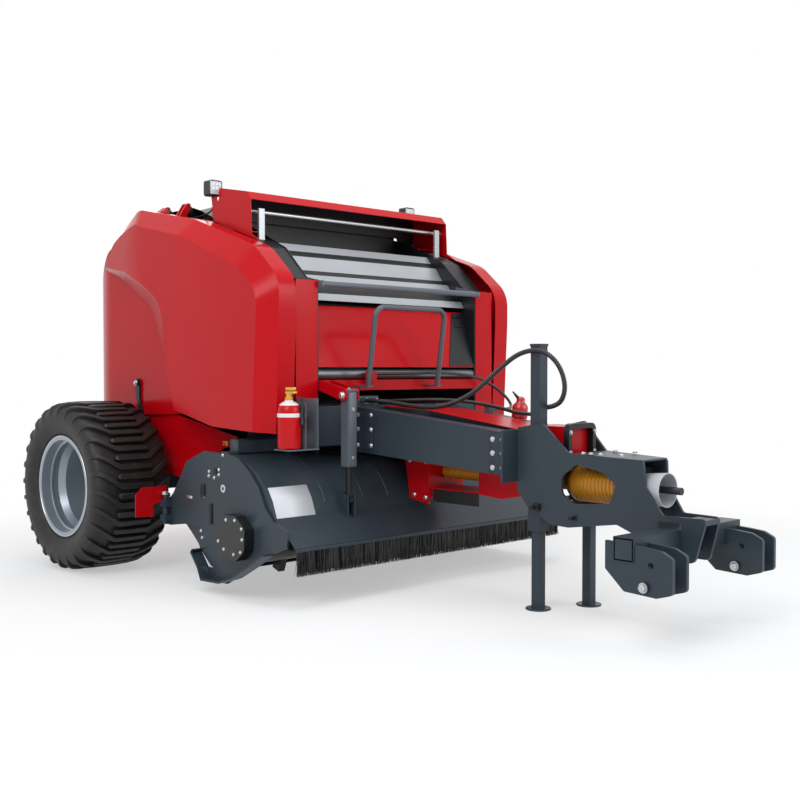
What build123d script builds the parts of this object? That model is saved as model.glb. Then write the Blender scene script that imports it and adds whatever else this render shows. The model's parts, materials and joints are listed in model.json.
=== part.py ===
from build123d import *
import os
from math import atan2, cos, degrees, hypot, pi, radians, sin, tan

# Round baler with a forestry pick-up head. Millimetres, +Z up, +X to the machine's left, -Y towards the
# tractor.
# While modelling, Y = 0 is the wheel axle; the finished pieces move along Y so that the box centre is at Y
# = 0.

# Wheels and axle
WHEEL_RADIUS = 511
TYRE_WIDTH = 500
TRACK = 2300
RIM_SEAT_RADIUS = 286
RIM_FLANGE_RADIUS = 305
RIM_WIDTH = 430
SHEET = 5
PLATE = 8
BEARING_FIT = 0.05
MOVING_GAP = 10
SEAT_GAP = 0.3
AXLE_BEAM = 120
AXLE_BEAM_WALL = 10
AXLE_BEAM_HALF = TRACK / 2 - 290
STUB_RADIUS = 45
STUB_END = TRACK / 2 - 110
HUB_RADIUS = 92
HUB_INNER = TRACK / 2 - 250
HUB_OUTER = TRACK / 2 - 85
DISC_X = TRACK / 2 - 150
DISC_THICKNESS = 14

# Chamber and body: all widths follow from the clear space between the tyres
TYRE_CLEARANCE = 35
RECESS_X = TRACK / 2 - TYRE_WIDTH / 2 - TYRE_CLEARANCE
CHAMBER_Y = -120
CHAMBER_Z = 1260
ROLLER_CIRCLE = 680
ROLLER_RADIUS = 90
ROLLER_SHAFT_RADIUS = 25
WALL_X = RECESS_X - 225
TAIL_WALL_X = WALL_X + 10
SPLIT_Y = -115
PIVOT_Y = -150
PIVOT_Z = 2020
PIVOT_RADIUS = 25
FRONT_Y = -1530
SIDE_X = RECESS_X + 135
LOWER_WALL_X = RECESS_X - 20
TAIL_REAR_Y = 700
TAIL_CORNER_RADIUS = 400
RAIL_TOP_Z = 691

# Side doors
DOOR_INNER_X = WALL_X + 165
DOOR_RIDGE_X = WALL_X + 280
DOOR_HINGE_X = WALL_X + 150
DOOR_HINGE_Z = 2200
DOOR_PIN_RADIUS = 6
DOOR_SEAM_GAP = 12

# Head
HEAD_PIVOT_Y = -860
HEAD_PIVOT_Z = 600
HEAD_PIN_RADIUS = 20
HEAD_SIDE_X = SIDE_X + 60
HEAD_SIDE_PLATE = 12
ROTOR_Y = -1405
ROTOR_Z = 325
ROTOR_DRUM_RADIUS = 150
ROTOR_TIP_RADIUS = 235
ROTOR_SHAFT_RADIUS = 40
HOOD_RADIUS = 420
HOOD_Y = -1290
HOOD_Z = 335

# Drawbar, nose and hitch
BEAM_WIDTH = 100
BEAM_WALL = 8
NOSE_PLATE = 15
HITCH_TUBE_Y = -3400
HITCH_TUBE_Z = 424
HITCH_TUBE = 108
HITCH_TUBE_HALF = 455
HITCH_WALL = 10
CLEVIS_INNER_X = 330
CLEVIS_OUTER_X = 440
CLEVIS_PLATE = 20
CLEVIS_BORE_RADIUS = 14.35
CLEVIS_BORE_Y = -3537
CLEVIS_BORE_Z = 369
CLEVIS_BOLT_Y = -3508
CLEVIS_BOLT_Z = 272
CLEVIS_BOLT_RADIUS = 12
HITCH_FRONT_Y = -3645
SHAFT_Z = 645
SHAFT_RADIUS = 17.45
SHAFT_TIP_Y = -3410

# Parking legs
LEG_TUBE = 60
LEG_TUBE_WALL = 4
LEG_INNER = LEG_TUBE - 2 * LEG_TUBE_WALL - 2 * SEAT_GAP
LEG_FOOT_RADIUS = 65
LEG_FOOT = 10
LEG_X_RIGHT = 140
LEG_Y_RIGHT = -2672
LEG_X_LEFT = 125
LEG_Y_LEFT = -2790
LEG_COLLAR = 76
LEG_COLLAR_TOP_Z = 585

TAIL_LAMP_PROUD = 28
BOX_SHIFT_Y = -(TAIL_REAR_Y + TAIL_LAMP_PROUD + HITCH_FRONT_Y) / 2
parts = {}


def outline(corners, plane):
    """A closed face from (u, v, corner radius) rows on a plane."""
    line = FilletPolyline(*[(u, v) for u, v, _ in corners], radius=[r for _, _, r in corners], close=True)
    return plane * make_face(line.edges())


def side_plate(corners, x0, x1):
    """(y, z, radius) rows, from x0 to x1."""
    return extrude(outline(corners, Plane.YZ.offset(x0)), amount=x1 - x0)


def plan_plate(corners, z0, z1):
    """(x, y, radius) rows, from z0 to z1."""
    return extrude(outline(corners, Plane.XY.offset(z0)), amount=z1 - z0)


def front_plate(corners, y0, y1):
    """(x, z, radius) rows, from y0 to y1."""
    plane = Plane(origin=(0, y1, 0), x_dir=(1, 0, 0), z_dir=(0, -1, 0))
    return extrude(outline(corners, plane), amount=y1 - y0)


def block(x0, x1, y0, y1, z0, z1):
    return Pos((x0 + x1) / 2, (y0 + y1) / 2, (z0 + z1) / 2) * Box(abs(x1 - x0), abs(y1 - y0), abs(z1 - z0))


def rod(axis, a, b, radius, start, end):
    """A cylinder along X, Y or Z; a and b are its other two coordinates in X, Y, Z order."""
    planes = {"X": Plane.YZ, "Y": Plane.ZX, "Z": Plane.XY}
    place = {"X": (start, a, b), "Y": (a, start, b), "Z": (a, b, start)}[axis]
    plane = Plane(origin=place, z_dir=planes[axis].z_dir)
    return extrude(plane * Circle(radius), amount=end - start)


def strut(start, end, radius):
    """A cylinder between two points in one X plane."""
    plane = Plane(origin=start, z_dir=Vector(*end) - Vector(*start))
    return extrude(plane * Circle(radius), amount=(Vector(*end) - Vector(*start)).length)


def sheet_strip(points, thickness, x0, x1):
    """A folded sheet: (y, z) points of its upper face, thickened below, from x0 to x1."""
    count = len(points)
    lower = []
    for i, (y, z) in enumerate(points):
        ya, za = points[max(i - 1, 0)]
        yb, zb = points[min(i + 1, count - 1)]
        length = hypot(yb - ya, zb - za)
        lower.append((y - (zb - za) / length * thickness, z + (yb - ya) / length * thickness, 0))
    return side_plate([(y, z, 0) for y, z in points] + lower[::-1], x0, x1)


def both(solid):
    """A piece and its mirror image on the other side."""
    return [solid, mirror(solid, about=Plane.YZ)]


def join(*pieces):
    body = pieces[0]
    for piece in pieces[1:]:
        body = body + piece
    return body


def solids_of(pieces):
    return [solid for piece in pieces for solid in piece.solids()]


# Tyres: a many-sided U-shaped ring of rubber, as wide at the sidewall as TYRE_WIDTH, with two rows of
# hooked lugs
half = TYRE_WIDTH / 2
bead = RIM_WIDTH / 2 - 12
TYRE_WALL = 24
TREAD_HALF = half - 18
LUG_HEIGHT = 30
carcass = WHEEL_RADIUS - LUG_HEIGHT
section = carcass - RIM_FLANGE_RADIUS
sidewall_low = RIM_FLANGE_RADIUS + 0.45 * section
sidewall_high = RIM_FLANGE_RADIUS + 0.75 * section
bore = RIM_SEAT_RADIUS + SEAT_GAP
LUG_COUNT = 16
LUG_WIDTH = 44
LUG_BEND = 0.5 * TREAD_HALF
LUG_SWEEP = 48
LUG_SHOULDER = 20
TYRE_FACETS = 2 * LUG_COUNT
lug_middle = LUG_SWEEP / 2
lug_edge = lug_middle + LUG_WIDTH / 2
lug_top = (WHEEL_RADIUS ** 2 - lug_edge ** 2) ** 0.5
LUG_PLAN = [
    (8, -lug_edge, 0), (LUG_BEND, -lug_edge, 0), (TREAD_HALF - 4, lug_middle - LUG_WIDTH / 2, 0),
    (TREAD_HALF - 4, lug_edge, 0), (LUG_BEND - 10, -lug_middle + LUG_WIDTH / 2, 0),
    (8, -lug_middle + LUG_WIDTH / 2, 0),
]
rim_w = RIM_WIDTH / 2
rim_rows = [
    (-rim_w, RIM_FLANGE_RADIUS, 0),
    (-rim_w + 10, RIM_FLANGE_RADIUS, 0),
    (-rim_w + 11, RIM_SEAT_RADIUS, 0),
    (-150, RIM_SEAT_RADIUS - 2, 0),
    (-120, 262, 0),
    (60, 262, 0),
    (100, RIM_SEAT_RADIUS - 2, 0),
    (rim_w - 11, RIM_SEAT_RADIUS, 0),
    (rim_w - 10, RIM_FLANGE_RADIUS, 0),
    (rim_w, RIM_FLANGE_RADIUS, 0),
    (rim_w - 2, RIM_SEAT_RADIUS - 8, 0),
    (104, 276, 0),
    (64, 254, 0),
    (-124, 254, 0),
    (-154, 276, 0),
    (-rim_w + 2, RIM_SEAT_RADIUS - 8, 0),
]


def turned(rows, x):
    """Rows of (distance from the middle plane, radius, corner radius) turned about the wheel's axle."""
    plane = Plane(origin=(x, 0, WHEEL_RADIUS), x_dir=(1, 0, 0), z_dir=(0, -1, 0))
    return revolve(outline(rows, plane), Axis((x, 0, WHEEL_RADIUS), (1, 0, 0)), 360)


def faceted(rows, facets):
    """A many-sided turned form about the X axis, from (x, radius of the flats) rows."""
    stages = []
    for row_a, row_b in zip(rows, rows[1:]):
        ends = []
        for x, radius in (row_a, row_b):
            corner = radius / cos(pi / facets)
            turns = [2 * pi * (i + 0.5) / facets for i in range(facets)]
            ring = Polyline(*[(corner * sin(t), corner * cos(t)) for t in turns], close=True)
            ends.append(Plane.YZ.offset(x) * make_face(ring.edges()))
        stages.append(loft(ends, ruled=True))
    return join(*stages)


wheel_x = TRACK / 2
tyre = faceted(
    [(-half, sidewall_high), (-TREAD_HALF, carcass), (TREAD_HALF, carcass), (half, sidewall_high)],
    TYRE_FACETS
)
for side in (-1, 1):
    tyre = tyre - faceted([(side * half, sidewall_low), (side * bead, RIM_FLANGE_RADIUS + 8)], TYRE_FACETS)
hollow_half = half - 2 * TYRE_WALL
hollow_radius = carcass - 2 * TYRE_WALL
bead_inner = bead - TYRE_WALL
tyre = tyre - faceted([(-half, bore), (half, bore)], LUG_COUNT)
tyre = tyre - faceted(
    [(-bead_inner, bore), (-hollow_half, hollow_radius), (hollow_half, hollow_radius), (bead_inner, bore)],
    LUG_COUNT
)
lug = plan_plate(LUG_PLAN, carcass - 6, lug_top)
lug = lug - Pos(TREAD_HALF, 0, lug_top) * Rot(0, 30, 0) * Box(40, 4 * LUG_SWEEP, LUG_SHOULDER)
lugs = []
for i in range(LUG_COUNT):
    lugs.append(lug.rotate(Axis.X, i * 360 / LUG_COUNT))
    lugs.append(mirror(lug, about=Plane.YZ).rotate(Axis.X, (i + 0.5) * 360 / LUG_COUNT))
lowest_turn = degrees(atan2(lug_edge, lug_top))
tyre = Pos(wheel_x, 0, WHEEL_RADIUS) * (tyre + lugs).rotate(Axis.X, -lowest_turn)
rim = turned(rim_rows, wheel_x)
disc_rows = [
    (HUB_OUTER - 40 - wheel_x, 0, 0),
    (HUB_OUTER - 40 - wheel_x, HUB_RADIUS - 12, 0),
    (DISC_X + 18 - wheel_x, 120, 0),
    (DISC_X - wheel_x, 200, 0),
    (DISC_X + 10 - wheel_x, 270, 0),
    (DISC_X + 10 - DISC_THICKNESS - wheel_x, 280, 0),
    (DISC_X - DISC_THICKNESS - wheel_x, 195, 0),
    (DISC_X + 18 - DISC_THICKNESS - wheel_x, HUB_RADIUS, 0),
    (HUB_INNER - wheel_x, HUB_RADIUS, 0),
    (HUB_INNER - wheel_x, 0, 0),
]
disc = turned(disc_rows, wheel_x)
cap = rod("X", 0, WHEEL_RADIUS, HUB_RADIUS - 12, HUB_OUTER - 45, HUB_OUTER)
hub_bore = rod("X", 0, WHEEL_RADIUS, STUB_RADIUS + BEARING_FIT, HUB_INNER - 1, STUB_END + 2)
wheel = join(rim, disc, cap) - hub_bore
parts["tyre_left"] = [tyre]
parts["tyre_right"] = [mirror(tyre, about=Plane.YZ)]
parts["rim_left"] = [wheel]
parts["rim_right"] = [mirror(wheel, about=Plane.YZ)]

# Axle beam, stubs and the short rails that carry the chamber
half_beam = AXLE_BEAM / 2
inner = half_beam - AXLE_BEAM_WALL
RAIL_WIDTH = 80
RAIL_FRONT_Y = -905
beam = block(
    -AXLE_BEAM_HALF, AXLE_BEAM_HALF, -half_beam, half_beam, WHEEL_RADIUS - half_beam,
    WHEEL_RADIUS + half_beam
)
beam = beam - block(
    -AXLE_BEAM_HALF + 20, AXLE_BEAM_HALF - 20, -inner, inner, WHEEL_RADIUS - inner, WHEEL_RADIUS + inner
)
frame_pieces = [beam]
rail_z = WHEEL_RADIUS + half_beam
for side in (-1, 1):
    stub = rod("X", 0, WHEEL_RADIUS, STUB_RADIUS, AXLE_BEAM_HALF - 5, STUB_END)
    rail = block(WALL_X, WALL_X + RAIL_WIDTH, RAIL_FRONT_Y, half_beam, rail_z, RAIL_TOP_Z)
    lug = side_plate(
        [(HEAD_PIVOT_Y - 55, HEAD_PIVOT_Z - 55, 50), (HEAD_PIVOT_Y + 55, HEAD_PIVOT_Z - 55, 50),
         (HEAD_PIVOT_Y + 90, RAIL_TOP_Z, 0), (HEAD_PIVOT_Y - 45, RAIL_TOP_Z, 0)],
        WALL_X + RAIL_WIDTH, WALL_X + RAIL_WIDTH + 20,
    )
    pin = rod("X", HEAD_PIVOT_Y, HEAD_PIVOT_Z, HEAD_PIN_RADIUS, WALL_X + RAIL_WIDTH, WALL_X + RAIL_WIDTH + 55)
    group = join(stub, rail, lug, pin)
    frame_pieces.append(group if side > 0 else mirror(group, about=Plane.YZ))
parts["axle_frame"] = [join(*frame_pieces)]

# Chamber walls: upright plates that carry the rollers, the front beams and the tailgate's pivots
wall_rows = [
    (SPLIT_Y, RAIL_TOP_Z, 0), (half_beam, RAIL_TOP_Z, 0), (half_beam, rail_z, 0), (-620, rail_z, 0),
    (-830, 720, 40), (-900, 900, 40), (-1400, 900, 20), (FRONT_Y + 20, 745, 0), (FRONT_Y, 745, 0),
    (FRONT_Y, 1640, 0), (-1440, 1720, 60), (-1250, 1900, 60), (-900, 2060, 100), (-640, 2110, 0),
    (-320, 2110, 30), (PIVOT_Y - 80, 2095, 0), (PIVOT_Y - 40, PIVOT_Z + 50, 0),
    (PIVOT_Y + 30, PIVOT_Z + 50, 10),
    (PIVOT_Y + 55, PIVOT_Z + 20, 10), (PIVOT_Y + 55, PIVOT_Z - 30, 10), (SPLIT_Y, PIVOT_Z - 60, 0),
]
PIN_REACH = 45
RAM_X = WALL_X + 115
RAM_BASE_Y = -300
RAM_BASE_Z = 900
RAM_PIN_RADIUS = 18
chamber_wall = side_plate(wall_rows, WALL_X - PLATE, WALL_X)
pivot_pin = rod("X", PIVOT_Y, PIVOT_Z, PIVOT_RADIUS, WALL_X - 2, WALL_X + PIN_REACH)
ram_pin = rod("X", RAM_BASE_Y, RAM_BASE_Z, RAM_PIN_RADIUS, WALL_X - 2, RAM_X + 34)
ram_boss = rod("X", RAM_BASE_Y, RAM_BASE_Z, 45, WALL_X - 2, RAM_X - 44)
HINGE_STATIONS = (-255, -480)
hinge_parts = []
for y in HINGE_STATIONS:
    arm = front_plate(
        [(WALL_X - PLATE, 2040, 0), (WALL_X + 60, 2070, 0), (DOOR_HINGE_X + 10, DOOR_HINGE_Z - 16, 5),
         (DOOR_HINGE_X + 10, DOOR_HINGE_Z + 10, 9), (DOOR_HINGE_X - 12, DOOR_HINGE_Z + 10, 9),
         (WALL_X - PLATE, 2105, 0)],
        y - 6, y + 6,
    )
    pin = rod("Y", DOOR_HINGE_X, DOOR_HINGE_Z, DOOR_PIN_RADIUS, y - 32, y + 32)
    hinge_parts.append(join(arm, pin))
SHOULDER_X = WALL_X + 146
shoulder = sheet_strip(
    [(-1135, 1948), (-1250, 1893), (-1440, 1716), (-1500, 1706)][::-1], -4, WALL_X - 2, SHOULDER_X
)
wall = join(chamber_wall, pivot_pin, ram_pin, ram_boss, shoulder, *hinge_parts)
parts["chamber_walls"] = both(wall)

# Fixed rollers of the chamber's front half, and the smooth bar roller across the front opening
FRONT_ROLLER_ANGLES = (105, 130, 155, 180, 205, 230)
BAR_ROLLER_RADIUS = 30
ROLLER_GAP = 12
ROLLER_TUBE_WALL = 7


def chamber_roller(y, z, reach):
    """A drum tube with one closed end on a shaft that spans between two walls at x = -reach and reach."""
    end = reach - ROLLER_GAP
    drum = rod("X", y, z, ROLLER_RADIUS, -end, end)
    drum = drum - rod("X", y, z, ROLLER_RADIUS - ROLLER_TUBE_WALL, -end + ROLLER_TUBE_WALL, end)
    return drum + rod("X", y, z, ROLLER_SHAFT_RADIUS, -reach, reach)


front_rollers = []
for angle in FRONT_ROLLER_ANGLES:
    y = CHAMBER_Y + ROLLER_CIRCLE * cos(radians(angle))
    z = CHAMBER_Z + ROLLER_CIRCLE * sin(radians(angle))
    front_rollers.append(chamber_roller(y, z, WALL_X - PLATE))
bar_y = FRONT_Y + BAR_ROLLER_RADIUS + 4
bar_z = 1187
front_rollers.append(rod("X", bar_y, bar_z, BAR_ROLLER_RADIUS, -WALL_X + PLATE, WALL_X - PLATE))
parts["chamber_rollers"] = front_rollers

# Lower side walls, red, outside the rails
lower_rows = [
    (-125, 950, 0), (-400, 950, 60), (-685, 900, 60), (-1070, 832, 10), (-1080, 790, 10), (-930, 760, 40),
    (-700, 610, 60), (-560, 560, 30), (-125, 590, 0),
]
lower_wall = side_plate(lower_rows, LOWER_WALL_X - SHEET, LOWER_WALL_X)
STAY_STATIONS = (-680, -300)
stays = [
    block(WALL_X + RAIL_WIDTH, LOWER_WALL_X - SHEET, y - 20, y + 20, RAIL_TOP_Z - 40, RAIL_TOP_Z - 6)
    for y in STAY_STATIONS
]
parts["lower_walls"] = both(join(lower_wall, *stays))

# Crossmember and flange plates under the front opening, and the red crossbar above it
CROSS_TOP = 1010
CROSS_BOTTOM = 792
FLANGE_BOTTOM = 750
cross_half = WALL_X - PLATE
CROSS_DEPTH = 110
CROSS_WALL = 10
cross = block(-cross_half, cross_half, FRONT_Y, FRONT_Y + CROSS_DEPTH, CROSS_BOTTOM, CROSS_TOP)
cross = cross - block(
    -cross_half + CROSS_WALL, cross_half - CROSS_WALL, FRONT_Y + CROSS_WALL,
    FRONT_Y + CROSS_DEPTH - CROSS_WALL,
    CROSS_BOTTOM + CROSS_WALL, CROSS_TOP - CROSS_WALL,
)
CROSSBAR_BOTTOM = 1096
CROSSBAR_TOP = 1155
CROSSBAR_DEPTH = 80
crossbar = block(
    -cross_half, cross_half, FRONT_Y - 10, FRONT_Y - 10 + CROSSBAR_DEPTH, CROSSBAR_BOTTOM, CROSSBAR_TOP
)
STRUT_X = -(WALL_X - 60)
STRUT_TOP_Y = -1722
STRUT_TOP_Z = 1075
STRUT_PIN_RADIUS = 12
ear_rows = [
    (FRONT_Y - 10, CROSSBAR_TOP, 0), (FRONT_Y - 10, CROSSBAR_BOTTOM, 0),
    (STRUT_TOP_Y + 5, STRUT_TOP_Z - 30, 0),
    (STRUT_TOP_Y - 32, STRUT_TOP_Z - 20, 14), (STRUT_TOP_Y - 32, STRUT_TOP_Z + 32, 20),
]
ears = [side_plate(ear_rows, STRUT_X + s * 42 - 5, STRUT_X + s * 42 + 5) for s in (-1, 1)]
ear_pin = rod("X", STRUT_TOP_Y, STRUT_TOP_Z, STRUT_PIN_RADIUS, STRUT_X - 47, STRUT_X + 47)

# Front posts: folded red sheets between the doors' seams and the chamber's front edges
SEAM_X = DOOR_HINGE_X + 2
post_rows = [
    (WALL_X, FRONT_Y - 4, 0), (SEAM_X, FRONT_Y - 4, 0), (SEAM_X, FRONT_Y + 1, 0),
    (WALL_X + 5, FRONT_Y + 1, 0),
    (WALL_X + 5, FRONT_Y + 40, 0), (WALL_X, FRONT_Y + 40, 0),
]
post = plan_plate(post_rows, 860, 1700)

# Red front panel, leaning back, above the bar roller
panel_top = (-1418, 1571)
panel_foot = (FRONT_Y + 8, 1225)
panel = sheet_strip([panel_top, panel_foot], -SHEET, -cross_half, cross_half)
parts["front_panels"] = [panel, *both(post)]

# Net box: stepped silver trays, the thin roller and the grey tube in front of them
HOOD_PLATE_X = DOOR_HINGE_X
tray_points = [
    (-1113, 1944), (-1151, 1899), (-1175, 1880), (-1195, 1865), (-1252, 1781), (-1300, 1752), (-1345, 1690),
    (-1418, 1640), (-1440, 1600)
]
tray = sheet_strip(tray_points, 4, -cross_half, cross_half)
BAR_X = WALL_X + 70
BAR_Y = -1120
side_bar = block(BAR_X - 20, BAR_X + 20, BAR_Y - 8, BAR_Y + 8, 1745, 2125)
bar_foot = block(WALL_X, BAR_X - 19, BAR_Y - 8, BAR_Y + 8, 1880, 1920)
parts["net_tray"] = [tray, *both(side_bar + bar_foot)]
tray_back = block(-cross_half, cross_half, -800, -796, 1950, 2225)
hood_back = block(-HOOD_PLATE_X + 2, HOOD_PLATE_X - 2, -826, -822, 2092, 2254)
parts["net_back"] = [tray_back, hood_back]
NET_TUBE_RADIUS = 17
net_tube = rod("X", -1554, 1680, NET_TUBE_RADIUS, -WALL_X, WALL_X)
NET_ROD_RADIUS = 12
net_roller = rod("X", -1076, 2111, NET_ROD_RADIUS, -HOOD_PLATE_X + 2, HOOD_PLATE_X - 2)
tube_arms = []
for side in (-1, 1):
    arm_rows = [
        (-1570, 1664, 0), (-1538, 1664, 0), (-1380, 1705, 0), (-1380, 1735, 0), (-1545, 1698, 0),
        (-1570, 1698, 0)
    ]
    arm = side_plate(arm_rows, side * (cross_half - 5) - 5, side * (cross_half - 5) + 5)
    tube_arms.append(arm)
parts["net_rollers"] = [join(net_tube, *tube_arms), net_roller]

# Red hood over the net box: side plates and a folded top with its visor lip
hood_side_rows = [
    (-1090, 2218, 0), (-825, 2266, 0), (-821, 2204, 0), (-749, 2142, 10), (-769, 2080, 10), (-1225, 1926, 0),
    (-1141, 1975, 0), (-1131, 2170, 0),
]
hood_sides = [side_plate(hood_side_rows, s * HOOD_PLATE_X - 2, s * HOOD_PLATE_X + 2) for s in (-1, 1)]
hood_top = sheet_strip([(-825, 2267), (-1092, 2218), (-1131, 2172)], 4, -HOOD_PLATE_X, HOOD_PLATE_X)
ROOF_HALF = WALL_X - 15
roof = sheet_strip(
    [(-262, 2112), (-330, 2118), (-560, 2215), (-700, 2250), (-829, 2265)], 4, -ROOF_HALF, ROOF_HALF
)
lamp_bracket = side_plate(
    [(-800, 2150, 0), (-752, 2150, 0), (-740, 2225, 0), (-790, 2225, 0)], HOOD_PLATE_X - 8, HOOD_PLATE_X - 2
)
hood_feet = [block(s * WALL_X, s * HOOD_PLATE_X, -1000, -900, 2006, 2012) for s in (-1, 1)]
parts["net_hood"] = [join(hood_top, roof, *both(lamp_bracket), *hood_sides, *hood_feet)]

# Side doors: bulged gull-wing covers with a bevelled band, hollow, each hinged along its top edge
RIDGE_ROWS = [
    (-1525, 872, 0), (-1554, 1500, 0), (-1554, 1700, 190), (-1340, 1885, 250), (-760, 2082, 500),
    (-150, 2198, 120),
    (160, 2010, 150), (330, 1800, 0), (-150, 1080, 0), (-1050, 890, 0),
]
FACE_ROWS = [
    (-1420, 880, 0), (-1441, 1240, 0), (-1467, 1640, 190), (-1290, 1768, 250), (-720, 1985, 500),
    (-240, 2085, 120),
    (60, 1990, 150), (260, 1780, 0), (-150, 1088, 0), (-1050, 896, 0),
]
STEP_OUTER = [
    (-760, 700, 0), (-565, 1250, 200), (-540, 1600, 260), (-60, 1860, 300), (520, 1990, 0), (900, 1990, 0),
    (900, 700, 0)
]
STEP_INNER = [
    (-660, 700, 0), (-400, 1230, 200), (-270, 1580, 260), (80, 1775, 300), (520, 1935, 0), (900, 1935, 0),
    (900, 700, 0)
]
TAPER_FRONT_Y = -300
TAPER_REAR = (RECESS_X + 35, 420)
STEP_FACE_X = RECESS_X + 20
DOOR_OPEN_BELOW = 60
STEP_FLANGE_FRONT = -760
STEP_FLANGE_TOP = 2040
TAIL_CLEAR_X = RECESS_X + MOVING_GAP


def shrink(rows, by):
    """Rows of an outline moved inwards by a sheet's thickness, round its own corners."""
    count = len(rows)
    area = sum(
        rows[i][0] * rows[(i + 1) % count][1] - rows[(i + 1) % count][0] * rows[i][1] for i in range(count)
    )
    turn = 1 if area > 0 else -1
    moved = []
    for i, (u, v, radius) in enumerate(rows):
        ua, va, _ = rows[i - 1]
        ub, vb, _ = rows[(i + 1) % count]
        la = hypot(u - ua, v - va)
        lb = hypot(ub - u, vb - v)
        na = (-(v - va) / la * turn, (u - ua) / la * turn)
        nb = (-(vb - v) / lb * turn, (ub - u) / lb * turn)
        scale = by / (1 + na[0] * nb[0] + na[1] * nb[1])
        moved.append(
            (u + (na[0] + nb[0]) * scale, v + (na[1] + nb[1]) * scale, max(radius - by, 0) if radius else 0)
        )
    return moved


def ruled(rows_a, x_a, rows_b, x_b):
    return loft([outline(rows_a, Plane.YZ.offset(x_a)), outline(rows_b, Plane.YZ.offset(x_b))], ruled=True)


def open_below(rows):
    """The three bottom corners moved down, so that the cover has no floor."""
    bottom = {0, len(rows) - 1, len(rows) - 2}
    return [(y, z - DOOR_OPEN_BELOW if i in bottom else z, r) for i, (y, z, r) in enumerate(rows)]


def door_body(inset, open_side):
    """The door's form, inset by a thickness; open_side lets the inner form reach past the inner edge."""
    ridge = open_below(shrink(RIDGE_ROWS, inset)) if inset else RIDGE_ROWS
    face = open_below(shrink(FACE_ROWS, inset)) if inset else FACE_ROWS
    flat = side_plate(ridge, DOOR_INNER_X - open_side, DOOR_RIDGE_X)
    body = flat + ruled(ridge, DOOR_RIDGE_X, face, SIDE_X - inset)
    taper = plan_plate(
        [(SIDE_X - inset, TAPER_FRONT_Y, 0), (SIDE_X + 200, TAPER_FRONT_Y, 0), (SIDE_X + 200, 800, 0),
         (TAPER_REAR[0] - inset - 40, 800, 0), (TAPER_REAR[0] - inset, TAPER_REAR[1], 0)],
        600, 2400,
    )
    body = body - taper
    grow = -inset * 1.5
    outer = [(y + grow, z - grow, r) for y, z, r in STEP_OUTER]
    inner_rows = [(y + grow, z - grow, r) for y, z, r in STEP_INNER]
    lean = (SIDE_X + 30 - STEP_FACE_X) / (SIDE_X - STEP_FACE_X)
    far = [
        (a[0] + (b[0] - a[0]) * lean, a[1] + (b[1] - a[1]) * lean, a[2]) for a, b in zip(inner_rows, outer)
    ]
    lean_in = (DOOR_INNER_X - 10 - STEP_FACE_X) / (SIDE_X - STEP_FACE_X)
    near = [
        (a[0] + (b[0] - a[0]) * lean_in, a[1] + (b[1] - a[1]) * lean_in, a[2]) for a,
        b in zip(inner_rows, outer)
    ]
    cutter = ruled(near, DOOR_INNER_X - 10, far, SIDE_X + 30)
    return body - cutter


door = door_body(0, 0) - door_body(SHEET, 60)
door = door - block(DOOR_INNER_X - 20, TAIL_CLEAR_X, SPLIT_Y - 20, 900, 600, 2400)
door = door - block(DOOR_INNER_X - 20, STEP_FACE_X - SHEET, STEP_FLANGE_FRONT, 900, 600, STEP_FLANGE_TOP)
DOOR_LUG = 14
DOOR_LUG_GAP = 6
for y in HINGE_STATIONS:
    share = (y + 760) / (760 - 150)
    top_z = 2082 + (2198 - 2082) * share
    lug = front_plate(
        [(DOOR_HINGE_X - 13, DOOR_HINGE_Z - 10, 12), (DOOR_HINGE_X - 13, DOOR_HINGE_Z + 13, 12), (DOOR_HINGE_X + 13, DOOR_HINGE_Z + 13, 12),
         (DOOR_INNER_X + 50, top_z - 3, 0), (DOOR_INNER_X + 2, top_z - 3, 0)],
        y - 6 - DOOR_LUG_GAP - DOOR_LUG, y - 6 - DOOR_LUG_GAP,
    )
    lug = lug + Pos(0, 2 * (6 + DOOR_LUG_GAP) + DOOR_LUG, 0) * lug
    door = door + (lug - rod("Y", DOOR_HINGE_X, DOOR_HINGE_Z, DOOR_PIN_RADIUS + BEARING_FIT, y - 60, y + 60))
parts["side_door_left"] = [door]
parts["side_door_right"] = [mirror(door, about=Plane.YZ)]

# Tailgate: a rounded hollow shell with two inner walls that hang on the pivots
TAIL_ROWS = [
    (-95, 2080, 0), (330, 1990, 220), (640, 1620, 260), (TAIL_REAR_Y, 1200, 300), (640, 800, 160),
    (470, 600, 120), (80, 600, 20),
    (80, 715, 0), (-95, 715, 0),
]
TAIL_FRONT_Y = SPLIT_Y + 15
tail_half = RECESS_X
tail_block = side_plate(TAIL_ROWS, -tail_half, tail_half)
plan_rows = [
    (-tail_half, -300, 0), (tail_half, -300, 0), (tail_half, TAIL_REAR_Y, TAIL_CORNER_RADIUS),
    (-tail_half, TAIL_REAR_Y, TAIL_CORNER_RADIUS),
]
tail_outer = tail_block & plan_plate(plan_rows, 500, 2200)
tail_inner = side_plate(shrink(TAIL_ROWS, SHEET), -tail_half + SHEET, tail_half - SHEET)
tail_inner = tail_inner & plan_plate(shrink(plan_rows, SHEET), 500, 2200)
front_cut = block(-tail_half - 5, tail_half + 5, -400, TAIL_FRONT_Y, 500, 2300)
SKIN_ROWS = [
    (-60, 1830, 0), (-200, 1790, 60), (-370, 1620, 150), (-470, 1300, 150), (-610, 990, 20),
    (-560, 950, 20), (-60, 930, 0),
]
skins = [
    side_plate(SKIN_ROWS, RECESS_X - SHEET, RECESS_X), side_plate(SKIN_ROWS, -RECESS_X, -RECESS_X + SHEET)
]
mouth = block(-tail_half + SHEET, tail_half - SHEET, -400, TAIL_FRONT_Y + 20, 720, 2076)
under = block(-TAIL_WALL_X, TAIL_WALL_X, -400, 75, 500, 740)
tail_shell = join(tail_outer - tail_inner - front_cut - mouth - under, *skins)
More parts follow.
